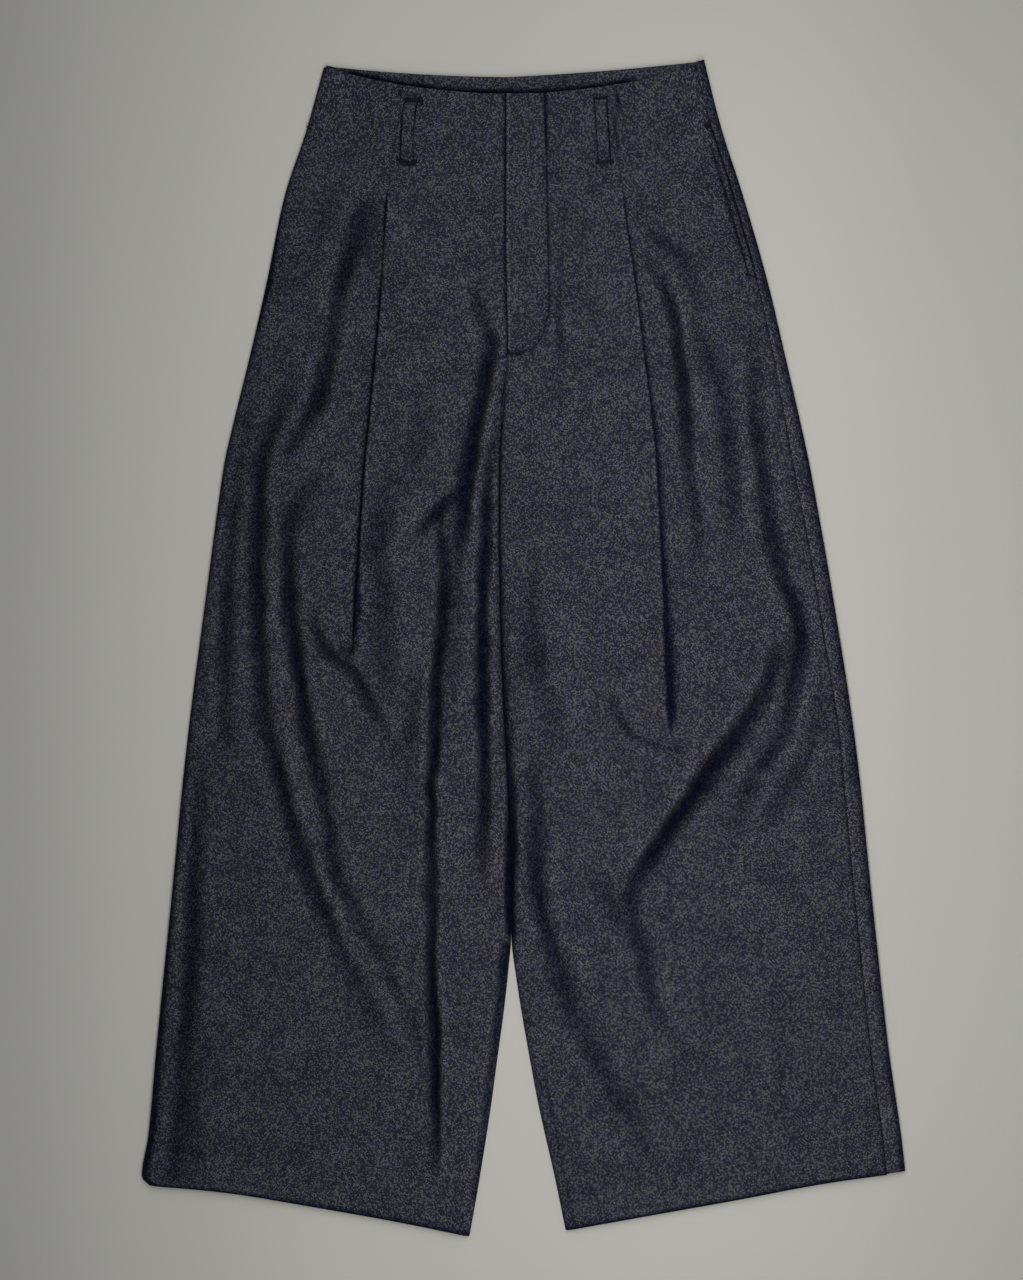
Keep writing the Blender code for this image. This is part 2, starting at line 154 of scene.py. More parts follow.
def add_light(name, place, aim, size, power, colour):
    """A rectangular soft light that the camera doesn't see."""
    light = bpy.data.lights.new(name, "AREA")
    light.shape = "RECTANGLE"
    light.size, light.size_y = size
    light.energy = power
    light.color = colour
    lamp = bpy.data.objects.new(name, light)
    lamp.location = place
    lamp.rotation_euler = (Vector(aim) - Vector(place)).to_track_quat("-Z", "Y").to_euler()
    lamp.visible_camera = False
    bpy.context.scene.collection.objects.link(lamp)


add_light(
    "soft_box", place=(0.14, -0.03, 0.56), aim=(0.14, -0.03, 0), size=(0.36, 1.62),
    power=4.48, colour=(1.0, 0.99, 0.982),
)
add_light(
    "top_fill", place=(-0.9, 1.3, 2.9), aim=(0, 0, 0), size=(2.2, 1.6),
    power=2.0, colour=(0.97, 0.985, 1.0),
)

world = bpy.data.worlds.new("studio")
world.use_nodes = True
sky = world.node_tree.nodes["Background"]
sky.inputs["Color"].default_value = (0.985, 0.985, 0.97, 1)
sky.inputs["Strength"].default_value = 0.292
bpy.context.scene.world = world
bpy.context.scene.view_settings.view_transform = "Standard"

# The camera looks straight down, its upper side towards the waist
camera_lens = bpy.data.cameras.new("camera")
camera_lens.lens = 100
camera_lens.sensor_width = 36
camera = bpy.data.objects.new("camera", camera_lens)
camera.location = (-0.0101, 0.0076, 3.271)
bpy.context.scene.collection.objects.link(camera)
bpy.context.scene.camera = camera


# Right front
# A panel of wool-blend twill cut in one with the waist. One deep pleat beside
# the belt loop is sewn shut at its top and hangs open below, over the thigh.

MM = 0.001

Row = namedtuple("Row", "down inner_x inner_y pleat_x pleat_y outer_x outer_y crown")

RIGHT_LEG = (
    Row(0, -14.3, 507.6, -109.5, 515.2, -183.0, 533.4, 5.6),
    Row(35, -14.3, 475.9, -114.4, 479.6, -198.9, 475.9, 5.6),
    Row(95, -14.3, 416.1, -122.8, 417.9, -218.5, 417.0, 6.2),
    Row(177, -13.3, 334.2, -127.9, 335.1, -235.2, 337.0, 7.6),
    Row(240, -12.4, 270.7, -133.5, 272.6, -249.8, 272.6, 8.8),
    Row(310, -17.5, 200.8, -139.9, 206.3, -267.0, 202.6, 10.6),
    Row(349, -19.8, 162.2, -143.7, 165.8, -275.0, 165.8, 11.6),
    Row(466, -20.7, 44.4, -151.0, 49.9, -290.6, 51.8, 12.4),
    Row(618, -16.1, -107.4, -157.7, -93.6, -308.5, -86.3, 12.4),
    Row(779, -11.0, -268.4, -165.1, -248.2, -323.6, -236.2, 11.4),
    Row(912, -25.9, -401.8, -173.4, -380.6, -336.6, -365.0, 8.8),
    Row(1000, -39.2, -489.2, -180.8, -465.3, -344.2, -447.8, 6.0),
    Row(1037, -45.8, -526.7, -183.5, -501.4, -350.2, -485.6, 4.8),
    Row(1050, -48.2, -539.8, -184.5, -513.8, -343.8, -493.6, 4.5),
)

# The cloth, the way it lies, and its rolled edges
CLOTH = 1.0
HALF_WALL = 0.6
SEAM_GAP = 0.3
LOWEST_FRONT = 2.5
LEVELLING = 0.5
CROWN_SHARE = 1.18
EDGE_HEIGHT = 4.6
EDGE_RUN = 75.0
EDGE_ROLL = 8.0
EDGE_ROLL_ANGLES = np.radians(np.linspace(0, 80, 8))
EDGE_ROLLS = EDGE_ROLL * (1 - np.cos(EDGE_ROLL_ANGLES))
EDGE_CLEARANCE = 0.3
GARMENT_LENGTH = 1050.0
HEM_CURVE = 2.0
HEM_CURVE_BAND = (0.2, 0.76)
HEM_CURVES = (960.0, 1050.0)
ROWS = 244
LATTICE_SIDE = 101
LATTICE_MIDDLE = (50.37, 50.71)

# The fly, the crotch and the gap between the legs
FLY_LENGTH = 242.0
FLY_ENDS = (FLY_LENGTH - 2, FLY_LENGTH + 4)
FLY_LAP = 12.0
FLY_LAP_ENDS = (FLY_LENGTH, FLY_LENGTH + 6)
FLY_LAP_FULL = 15.0
FLY_LAP_FADE = 32.0
FLY_LIFT = 1.8
FLY_LIFT_ENDS = (FLY_LENGTH + 4, FLY_LENGTH + 40)
FRONT_SEAM_STARTS = (FLY_LENGTH, FLY_LENGTH + 30)
CROTCH_FRONT = (285.0, 365.0)
LEGS_PART = (250.0, 290.0)
LEG_GAP_AT_CROTCH = -0.14
LEG_GAP_AT_FORK = 0.3
LEG_GAP_OPENS = (764.0, 830.0)
JUNCTION = (
    (0, -14.8), (95, -14.9), (150, -14.8), (200, -13.9), (240, -13.2), (273, -16.6), (310, -19.4),
    (349, -21.2), (466, -20.7), (520, -19.2), (572, -17.0), (632, -13.8), (700, -11.4),
    (779, -10.2), (860, -9.0),
)
LEGS_SPREAD = (757.0, 806.0)
WAIST_RAISE = 1.3
WAIST_RAISE_RUN = (62.0, 100.0)
EDGE_RAISE = 0.7
FRONT_RAISE = 1.6

J_STITCH = (
    (20.7, 511), (21.6, 465), (22.5, 422), (23.4, 373), (24.4, 318), (22.0, 299), (16.0, 283),
    (7.0, 273), (-3.0, 270.5), (-13.0, 271.5),
)
POCKET_STITCH = (
    (172.4, 462.1), (178.1, 444), (185.7, 418.6), (193.5, 390.4), (201.1, 367.4), (207.5, 343.1),
)


def marked(path, strengths):
    """A stitched path's points, each with how deep its stitches pull it in and how dark it is painted.
    """
    return tuple((x, y, strength) for (x, y), strength in zip(path, strengths))


# A tone beside a line: its share of the light, how far it reaches, and its place
Tone = namedtuple("Tone", "share reach place", defaults=(0.0,))

# Stitched grooves and seam lines, sunk a little and painted darker, and shadows painted
# beside the loops: each point's place and its strength
Mark = namedtuple("Mark", "reach points")
MARKS = (
    Mark(2.0, ((20.7, 511, 1), (21.6, 465, 1), (22.3, 436, 0))),
    Mark(1.3, ((22.1, 440, 0.9),) + marked(J_STITCH[2:9], (0.9, 0.8, 0.8, 0.8, 0.8, 0.9, 0.9))),
    Mark(2.2, ((3.0, 272.0, 0.9), (-3.0, 270.4, 1), (-12.0, 271.0, 1), (-16.0, 271.6, 0.8))),
    Mark(1.7, marked(POCKET_STITCH, (0.6, 0.8, 0.9, 0.95, 0.9, 0.8))),
    Mark(1.8, ((168.6, 478.6, 0.9), (173.5, 480.0, 0.8))),
    Mark(1.8, ((20.0, -385, 0.0), (24.4, -413, 0.5), (36.0, -470, 0.4), (48.3, -530, 0.5))),
    Mark(1.2, ((82.0, 494, 0.3), (84.4, 480, 0.7), (86.6, 462, 0.7), (87.0, 453, 0.3))),
    Mark(2.0, ((86.0, 513, 0.6), (87.4, 505, 0.8), (89.0, 494, 0.6))),
    Mark(1.1, ((-111.6, 514, 0.7), (-111.8, 505, 0.6))),
)
MARK_REACH = 3.0
GROOVE_DEPTH = 0.55

# The pleats: sewn down to release, then a folded edge that lies over the side
PLEAT_LAYER = 1.75
PLEAT_TURN = 0.85
PLEAT_TURN_SEWN = 0.3
PLEAT_FOOT = 2.0
PLEAT_FOOT_SEWN = 0.55
PLEAT_RISE = np.array((0.8, 2.2, 4.6))
PLEAT_RISE_SEWN = np.array((0.7, 0.85, 1.4))
PLEAT_RISE_HEIGHTS = np.array((0.4, 0.8, 1.0))
PLEAT_COVER = 30.5
PLEAT_SLOPE = 46.0
PLEAT_LEVEL_RUN = 55.0
PLEAT_OPEN_RUN = 12.0
PLEAT_SWELLS = 90.0
PLEAT_SWELL = 0.55
PLEAT_SWELL_RISE = 0.6
# Then the shade painted beside a pleat's folded edge, the highlight painted on its fold, and a stretch
# where the right pleat's painted shadow is paler
PLEAT_SHADE = 0.93
PLEAT_SHADE_START = 0.3
PLEAT_SHADE_ENDS = 12.0
PLEAT_LIGHT = Tone(0.28, 1.8, -1.8)
PLEAT_LIGHT_ENDS = (420.0, 480.0)
PLEAT_OPENS = 16.0
PLEAT_FADES = (4.0, 60.0)
RIGHT_PLEAT_PALE = Tone(0.75, 24.0, 150.0)
Pleat = namedtuple("Pleat", "depth_waist depth_middle depth_end middle release end")
RIGHT_PLEAT = Pleat(28.0, 24.0, 7.0, 260.0, (90.0, 106.0), 514.0)
LEFT_PLEAT = Pleat(28.0, 25.0, 7.0, 300.0, (90.0, 106.0), 600.0)

# The shadow painted beside a pleat's folded edge: how far down, how wide it is at its
# darkest, and how wide its soft side is. Then the same inside the edge.
RIGHT_SHADOW = ((90, 0.8, 3.2), (350, 0.6, 5.5), (413, 0.8, 6.0), (450, 1.6, 4.0), (505, 1.6, 2.6))
LEFT_SHADOW = (
    (90, 0.3, 2.6), (230, 0.5, 4.4), (300, 0.8, 6.0), (410, 1.6, 7.4), (470, 3.4, 7.4),
    (540, 4.8, 9.0), (580, 4.0, 7.0), (600, 1.5, 4.0),
)
RIGHT_INNER_SHADOW = ((420, 0.0, 0.6), (450, 0.8, 3.4), (480, 1.2, 6.0), (505, 0.6, 4.0))
LEFT_INNER_SHADOW = ((470, 0.0, 0.6), (520, 0.2, 4.0), (580, 0.6, 4.0), (600, 0.2, 2.0))

# The folds of both fronts: each point's place and how deep the fold is there. A positive
# lean steepens the side on the left of the way that it runs, and two leans are those of
# its start and its end.
# A fold's depth also sets how much shade is painted in its trough
Fold = namedtuple("Fold", "name width lean points")
FOLDS = (
    Fold("right_hip", 6.8, 0.1, (
        (-147, 406, 1.2), (-152, 387, 2.6), (-159, 362, 5.4), (-166, 339, 7.2), (-171, 314, 4.4),
        (-174, 288, 4.6), (-178, 265, 6.4), (-184, 244, 8.6), (-191, 222, 8.6), (-200, 203, 5),
        (-213, 184, 3.2), (-222, 171, 1.4))),
    Fold("right_hip_broad", 12.0, 0.0, (
        (-144, 408, 1.6), (-149, 385, 3), (-156, 360, 2.4), (-165, 335, 0.8))),
    Fold("right_hip_faint", 10.0, 0.0, (
        (-168, 425, 0.6), (-180, 395, 1.3), (-195, 370, 1.3), (-209, 345, 0.8))),
    Fold("right_hip_shade", 12.0, 0.0, ((-140, 403, 1.6), (-139, 376, 1.8), (-140, 348, 1.2))),
    Fold("right_thigh_outer", 7.4, (0.0, 0.5), (
        (-209, 246, 1.2), (-218, 226, 2.8), (-227, 207, 4.6), (-235, 188, 6), (-241, 168, 7.6),
        (-243, 150, 8.6), (-244, 113, 9), (-244, 72, 9), (-243, 35, 8.6), (-241, 3, 8),
        (-238, -34, 7), (-237, -66, 6.4), (-228, -94, 7.4), (-221, -121, 8), (-215, -149, 7.6),
        (-207, -176, 7.6), (-198, -204, 6.8), (-188, -227, 6.4), (-178, -252, 5), (-165, -282, 4),
        (-151, -310, 3.4), (-137, -333, 2.6), (-125, -356, 1.8), (-110, -379, 0.8))),
    Fold("right_thigh_inner", 6.2, (-0.3, 0.2), (
        (-189, 157, 1.4), (-201, 144, 2.2), (-212, 125, 2.4), (-215, 104, 3.2), (-217, 84, 6),
        (-216, 58, 9.4), (-214, 31, 10.5), (-210, 3, 11), (-206, -25, 10.5), (-202, -52, 9.4),
        (-200, -70, 9.2), (-195, -94, 8.4), (-188, -117, 6.6), (-182, -144, 4.6), (-177, -172, 5.2),
        (-172, -204, 5.6), (-161, -227, 4.2), (-146, -255, 2.8), (-131, -282, 2.6), (-117, -310, 2.6),
        (-105, -337, 2.2), (-98, -360, 1.4), (-92, -383, 0.6))),
    Fold("right_thigh_broad", 9.5, 0.0, (
        (-190, 154, 1.2), (-202, 138, 2.2), (-212, 120, 3), (-216, 102, 3.4), (-217, 80, 2),
        (-216, 60, 0.6))),
    Fold("right_side_soft", 6.4, -0.1, (
        (-248, 229, 0.6), (-252, 205, 1.2), (-259, 172, 2), (-265, 140, 2.8), (-268, 109, 3.8),
        (-271, 72, 4), (-273, 35, 5), (-275, -2, 4.4), (-274, -38, 4), (-274, -66, 2.6),
        (-269, -94, 1.4))),
    Fold("right_hem_side", 6.8, -0.3, (
        (-296, -117, 2), (-299, -149, 3.4), (-301, -181, 4.4), (-304, -218, 6.6), (-305, -259, 6.2),
        (-307, -296, 6.8), (-309, -328, 6.4), (-311, -360, 4.6), (-314, -393, 3), (-316, -425, 3),
        (-320, -452, 3), (-322, -480, 2.4))),
    Fold("right_hem_band", 17.0, 0.0, (
        (-302, -268, 0.8), (-306, -342, 1.6), (-308, -416, 2.4), (-312, -480, 2.4))),
    Fold("right_pleat_drag", 5.6, 0.2, (
        (-193, 30, 2), (-189, 14, 5.4), (-184, 3, 7.4), (-176, -5, 7.8), (-168, -11, 7),
        (-157, -19, 6.6), (-149, -32, 7), (-141, -48, 6.4), (-134, -61, 5), (-128, -72, 3.6),
        (-122, -84, 2.2), (-117, -96, 1))),
    Fold("right_pleat_hook", 3.2, 0.0, (
        (-172, 10, 1), (-166, 3, 4), (-160, -1, 7), (-156, -1, 7), (-154, 5, 3))),
    Fold("right_knee_short", 11.0, 0.0, (
        (-126, 146, 1), (-133, 109, 3.4), (-134, 86, 4), (-130, 63, 4.2), (-128, 35, 4.6),
        (-129, 8, 3.4), (-127, -20, 2.4), (-122, -43, 1.4))),
    Fold("right_front_streak", 11.0, 0.0, (
        (-88, 232, 0.8), (-92, 210, 2.2), (-95, 190, 2.6), (-106, 168, 1.8), (-118, 146, 1.6),
        (-124, 122, 1.2))),
    Fold("right_knee_low", 6.8, 0.0, (
        (-99, -20, 1.4), (-102, -44, 2.4), (-103, -66, 2.8), (-104, -84, 2.4), (-106, -103, 1.8),
        (-109, -126, 0.8))),
    Fold("crotch_soft", 6.0, 0.0, ((-45, 332, 1.6), (-42, 316, 4), (-36, 300, 5), (-31, 288, 5))),
    Fold("crotch_deep", 6.3, 0.35, (
        (-29, 282, 7), (-31, 261, 11), (-35, 242, 12.5), (-39, 224, 13), (-42, 205, 13.5),
        (-46, 187, 13.5), (-49, 169, 13.5), (-51, 150, 13.5), (-54, 132, 12.5), (-56, 111, 9.5),
        (-59, 90, 5), (-61, 63, 2.8), (-64, 31, 2.6), (-67, 3, 1.6))),
    Fold("crotch_branch", 5.6, -0.3, (
        (-52, 150, 5), (-61, 143, 6), (-71, 135, 8), (-80, 126, 9), (-88, 115, 7.4), (-94, 105, 4),
        (-99, 94, 1))),
    Fold("right_inner_long", 4.5, (-0.3, 0.5), (
        (-77, 125, 3), (-75, 104, 6), (-73, 81, 9), (-73, 58, 11), (-75, 31, 12), (-77, 3, 12),
        (-79, -25, 12), (-80, -52, 12), (-82, -90, 12), (-84, -126, 12), (-84, -158, 12.5),
        (-83, -195, 9.5), (-83, -227, 8.5), (-83, -259, 10.5), (-83, -296, 12.5), (-81, -328, 14),
        (-79, -360, 13.5), (-79, -393, 13), (-79, -420, 12.5), (-79, -443, 9.5), (-79, -466, 5),
        (-81, -485, 1))),
    Fold("right_inner_shade", 9.0, 0.0, (
        (-66, 60, 1.2), (-66, 31, 1.8), (-68, -11, 2.2), (-70, -48, 2.2), (-72, -66, 1.8),
        (-73, -94, 1))),
    Fold("right_inner_edge", 4.7, 0.0, (
        (-22, 238, 2), (-24, 210, 2.4), (-27, 187, 3.4), (-30, 169, 5), (-32, 146, 8),
        (-33, 123, 11.5), (-34, 95, 13.5), (-36, 67, 16), (-37, 35, 17.5), (-37, 3, 18),
        (-37, -29, 18), (-36, -61, 17), (-35, -94, 14.5), (-35, -121, 12.5), (-35, -149, 10.5),
        (-36, -176, 7.5), (-36, -199, 4), (-35, -216, 1))),
    Fold("legs_meet", 3.4, 0.0, (
        (-12, -94, 2), (-11, -126, 4), (-11, -150, 10), (-11, -176, 22), (-12, -213, 28),
        (-12, -241, 26), (-11, -264, 18))),
    Fold("right_inner_fall", 3.6, 0.0, (
        (-15, -273, 9), (-18, -305, 8), (-22, -342, 7), (-28, -383, 6), (-33, -420, 5),
        (-38, -462, 4), (-44, -508, 3))),
    Fold("left_pleat_shadow", 5.6, 0.3, (
        (118, 350, 2.6), (128, 334, 4), (136, 316, 6.6), (141, 295, 7.8), (144, 270, 9),
        (148, 242, 9), (150, 215, 8.4), (152, 187, 7), (155, 159, 5), (159, 132, 3.6),
        (161, 104, 2.8), (162, 81, 2), (161, 58, 1))),
    Fold("left_curve_soft", 7.0, 0.0, (
        (109, 403, 1.5), (117, 385, 2.8), (129, 372, 4), (141, 364, 3.4), (150, 352, 3.4),
        (157, 334, 3), (165, 316, 2))),
    Fold("left_hip_soft", 7.6, 0.0, (
        (161, 306, 2), (165, 281, 3), (173, 261, 3.6), (182, 238, 4.2), (186, 215, 4.8),
        (190, 187, 4.8), (191, 159, 4.2), (191, 132, 2.8), (193, 104, 1))),
    Fold("left_side", 6.8, 0.0, (
        (215, 284, 1), (212, 256, 3), (213, 228, 4.6), (215, 201, 5.4), (219, 173, 6), (222, 146, 6),
        (227, 113, 6), (232, 86, 6.4), (240, 58, 7.4), (250, 38, 9.4), (255, 21, 10.5), (255, 1, 10),
        (250, -22, 8.4), (247, -42, 7), (244, -60, 6), (239, -75, 5.6), (228, -95, 5.4),
        (214, -117, 4.4), (202, -142, 2.8), (196, -160, 1))),
    Fold("left_knee_diagonal", 7.3, -0.35, (
        (238, 8, 2.4), (232, -11, 6), (224, -32, 8.4), (214, -50, 10), (206, -63, 10.6),
        (195, -80, 11.6), (181, -98, 14), (167, -118, 16), (154, -137, 17), (141, -153, 16),
        (129, -172, 14.5), (119, -188, 12.5), (109, -203, 10), (103, -213, 8), (99, -223, 5))),
    Fold("left_knee_side", 7.0, 0.0, (
        (279, -34, 1.2), (273, -60, 2.2), (265, -89, 3), (251, -117, 3.6), (235, -144, 3),
        (221, -163, 1.4))),
    Fold("left_shin", 6.6, 0.0, (
        (98, -226, 4.4), (101, -241, 5), (105, -259, 5), (111, -282, 4.6), (115, -305, 4.4),
        (120, -328, 3.8), (130, -347, 1.4), (145, -365, 0.8), (166, -379, 1.6), (175, -390, 0.8))),
    Fold("left_shin_hook", 8.0, 0.0, (
        (72, -214, 2), (78, -226, 4.4), (84, -239, 4.4), (91, -252, 3), (98, -266, 1.2))),
    Fold("left_pleat_end", 5.0, 0.0, (
        (83, -46, 1.8), (88, -64, 3.6), (97, -77, 4), (109, -85, 4), (125, -91, 3.4),
        (145, -91, 1.6))),
    Fold("left_inner_upper", 9.0, 0.0, (
        (12, 81, 1), (9, 58, 2.6), (9, 31, 3.4), (8, 3, 3.8), (12, -20, 3.4), (20, -38, 3),
        (26, -61, 2), (29, -84, 1))),
    Fold("left_inner", 7.6, -0.1, (
        (10, -117, 2.4), (12, -149, 4), (11, -176, 6.6), (11, -204, 8.2), (14, -227, 7.6),
        (19, -250, 6.6), (25, -273, 5.8), (32, -296, 4.4), (39, -319, 3.2), (48, -342, 2.6),
        (61, -365, 2.4), (74, -388, 2.2), (85, -411, 1.8), (98, -429, 1.4), (109, -448, 1),
        (118, -468, 0.5))),
    Fold("left_inner_broad", 13.0, 0.0, (
        (30, -290, 1), (45, -335, 1.8), (62, -365, 2), (78, -392, 2), (95, -425, 1.8),
        (110, -455, 1))),
    Fold("left_calf_soft", 6.0, 0.0, (
        (232, -360, 1.2), (236, -383, 1.8), (235, -406, 1.4), (242, -434, 0.8))),
    Fold("fly_soft", 3.4, 0.0, (
        (39, 402, 0.6), (37, 370, 1.6), (35, 334, 1.6), (34, 311, 2.4), (34, 288, 3.4),
        (35, 268, 2.2), (36, 256, 0.8))),
)
FOLD_LEAN = 0.55
FOLD_REACH = 3.6
FOLD_RELIEF = 0.75
FOLD_STRAY = 1.5
FOLD_STRAY_SIZE = 19.0
FOLD_UNEVEN = 0.25
FOLD_UNEVEN_SIZE = 11.0

# The waves in which a fold's width varies: length, start in each next fold, height
FOLD_WAVES = ((23.0, 1.7, 0.10), (9.5, 2.9, 0.05))

# The ridges beside a fold, with the highlight painted on them, and the depth that sets the shade
# painted in a fold's trough
RIDGE_OFFSET = 2.0
RIDGE_WIDTH = 0.8
RIDGE_RISE = 0.22
RIDGE_LIGHT = 0.031
RIDGE_LEAN = 1.2
RIDGE_FULL = 7.0
RIDGE_MOST = 3.2
RIDGE_LIT_MOST = 12.0
PAINTED_SHADE_DEPTH = 5.0

# The shade painted in the seams and at the edges, and the highlight painted on the fly's lap edge
RIGHT_SEAM_SHADE = Tone(0.97, 1.8)
LEFT_SEAM_SHADE = 0.97
LEFT_SEAM_SHADE_APART = 0.5
LEFT_SEAM_REACH = (2.3, 6.6)
LEFT_SEAM_WIDENS = (400.0, 620.0)
FLY_SHADE = Tone(0.97, 1.9, 0.9)
FLY_EDGE_LIGHT = Tone(0.46, 1.2, 1.3)
HEM_SHADE = Tone(0.92, 2.1)
SIDE_SEAM_SHADE = 0.62
SIDE_SEAM_REACH = 2.0
SIDE_OPEN_SHADE = 0.98
SIDE_OPENS = (20.0, 45.0)
SIDE_CLOSES = (150.0, 190.0)
SIDE_SEAM_INSET = (
    (0, 8.5), (115, 9.2), (230, 10.4), (290, 13.2), (350, 15.2), (410, 14.3), (530, 14.2),
    (610, 13.9), (660, 15.2), (850, 16.1), (1050, 17.2),
)
SIDE_EDGE_SHADE = (
    (0, 0.66), (110, 0.66), (128, 0.94), (205, 0.94), (240, 0.84), (265, 0.62), (620, 0.70),
    (860, 0.88),
)
SIDE_EDGE = (
    (0, 0.6, 3.4), (110, 0.8, 3.6), (135, 2.0, 4.2), (180, 2.8, 4.6), (240, 1.4, 3.6),
    (500, 1.0, 3.6), (620, 1.4, 4.2), (740, 1.6, 4.2), (810, 2.0, 4.6), (880, 3.2, 5.6),
    (960, 4.2, 6.8), (1050, 4.2, 6.0),
)

# Low random hills, as size in millimetres and height. They and the folds are
# calmed at the waist and the hem.
HILLS = ((96.0, 0.75), (41.0, 0.34), (17.0, 0.11))
HILL_SEED = 11
HILL_STRETCH = (1.25, 0.8)
HILLS_CALMED = 0.35
WAIST_CALM = (20.0, 110.0)
HEM_CALM = 70.0
HEM_FADE = 16.0

# The front waist stands open a little in the middle
WAIST_OPENS = 3.6
WAIST_OPEN_RUN = 75.0
WAIST_OPEN_MIDDLE = -14.0
WAIST_OPEN_HALF = 140.0
WAIST_OPEN_FADE = 90.0

# The turned edges at the waist and the hem
WAIST_TURN = 0.9
WAIST_TURN_ANGLES = np.radians((35, 70, 100))
HEM_TURN = 0.8
HEM_TURN_ANGLES = np.radians((30, 60, 90, 120, 150, 180))
HEM_ALLOWANCE_ROWS = 6


def ease(t):
    """A smooth step from 0 to 1."""
    t = np.clip(t, 0.0, 1.0)
    return t * t * (3 - 2 * t)


def arch(t):
    """A rise from 0 to 1 that is steep at its start and level at its end."""
    return 1 - (1 - np.clip(t, 0.0, 1.0)) ** 2


def mix(a, b, t):
    """The value that is the share t of the way from a to b."""
    return a + (b - a) * t


def ease_between(value, span):
    """A smooth step from 0 at the span's start to 1 at its end."""
    return ease((value - span[0]) / (span[1] - span[0]))


def beside(distance, reach, place=0.0):
    """A tone that is full at a place beside a line, and fades on both sides."""
    return np.exp(-((distance - place) / reach) ** 2)


def tone_at(distance, tone):
    """The share of the light that a tone takes or adds at a distance."""
    return tone.share * beside(distance, tone.reach, tone.place)


def smooth_values(keys, values, at):
    """The values on a smooth curve through a table's rows."""
    keys = np.asarray(keys, float)
    values = np.asarray(values, float)
    ends_twice = np.pad((keys, values), ((0, 0), (1, 1)), "edge")
    runs, rises = ends_twice[:, 2:] - ends_twice[:, :-2]
    slopes = rises / runs
    i = np.clip(np.searchsorted(keys, at) - 1, 0, len(keys) - 2)
    span = keys[i + 1] - keys[i]
    t = (at - keys[i]) / span
    start = slopes[i] * span
    end = slopes[i + 1] * span
    rise = values[i + 1] - values[i]
    return values[i] + t * (start + t * (3 * rise - 2 * start - end + t * (start + end - 2 * rise)))


class Leg:
    """Lines across a leg: one row of each array is one line, and its columns
    run from the inner edge to the outer edge."""

    def __init__(self, rows, downs):
        self.down = np.array(downs, float)[:, None]
        keys = [row.down for row in rows]
        line = Row(*(smooth_values(keys, column, self.down) for column in zip(*rows)))
        shared = smooth_values(*zip(*JUNCTION), np.minimum(self.down, JUNCTION[-1][0]))
        apart = ease_between(self.down, LEGS_SPREAD)
        self.line = line = line._replace(inner_x=mix(shared, line.inner_x, apart))
        self.to_pleat = np.hypot(line.pleat_x - line.inner_x, line.pleat_y - line.inner_y)
        self.width = self.to_pleat + np.hypot(line.outer_x - line.pleat_x, line.outer_y - line.pleat_y)

    def at(self, across):
        """The points on the floor plan, on a parabola through three."""
        line = self.line
        t = across / self.width
        middle = self.to_pleat / self.width
        by_inner = (t - middle) * (t - 1) / middle
        by_pleat = t * (t - 1) / (middle * (middle - 1))
        by_outer = t * (t - middle) / (1 - middle)
        x = line.inner_x * by_inner + line.pleat_x * by_pleat + line.outer_x * by_outer
        y = line.inner_y * by_inner + line.pleat_y * by_pleat + line.outer_y * by_outer
        hem_curve = HEM_CURVE * beside(t, *HEM_CURVE_BAND)
        return x, y + hem_curve * ease_between(self.down, HEM_CURVES)


def smooth_path(points, steps=4):
    """A path's points, with points of a smooth curve put between them."""
    keys = np.arange(len(points))
    at = np.arange((len(points) - 1) * steps + 1) / steps
    return np.stack([smooth_values(keys, column, at) for column in zip(*points)], axis=1)


def beside_path(path, x, y):
    """Each point's distance to a path, its side, and its place along it."""
    distance = np.full(x.shape, np.inf)
    side = np.zeros(x.shape)
    along = np.zeros(x.shape)
    passed = 0.0
    for start, end in zip(path[:, :2], path[1:, :2]):
        run = end - start
        length = math.hypot(*run)
        t = np.clip(((x - start[0]) * run[0] + (y - start[1]) * run[1]) / length ** 2, 0, 1)
        off_x = x - start[0] - run[0] * t
        off_y = y - start[1] - run[1] * t
        off = np.hypot(off_x, off_y)
        closer = off < distance
        distance = np.where(closer, off, distance)
        side = np.where(closer, np.sign(run[0] * off_y - run[1] * off_x), side)
        along = np.where(closer, passed + length * t, along)
        passed += length
    return distance, side, along, passed


def hills(x, y, size, seed):
    """Soft random hills between -1 and 1, about size millimetres apart."""
    lattice = np.random.default_rng(seed).uniform(-1, 1, (LATTICE_SIDE, LATTICE_SIDE))
    u = x / size + LATTICE_MIDDLE[0]
    v = y / size + LATTICE_MIDDLE[1]
    i = np.floor(u).astype(int)
    j = np.floor(v).astype(int)
    s = ease(u - i)
    low, high = (
        mix(lattice[i % LATTICE_SIDE, row], lattice[(i + 1) % LATTICE_SIDE, row], s)
        for row in (j % LATTICE_SIDE, (j + 1) % LATTICE_SIDE)
    )
    return mix(low, high, ease(v - j))


def stations_on(path):
    """How far along a path each of its points lies."""
    return np.concatenate(([0.0], np.cumsum(np.hypot(*np.diff(path[:, :2], axis=0).T))))


def near_path(path, x, y, reach):
    """Which points lie in the box that a path and its reach fill."""
    low = path.min(axis=0) - reach
    high = path.max(axis=0) + reach
    return (x > low[0]) & (x < high[0]) & (y > low[1]) & (y < high[1])


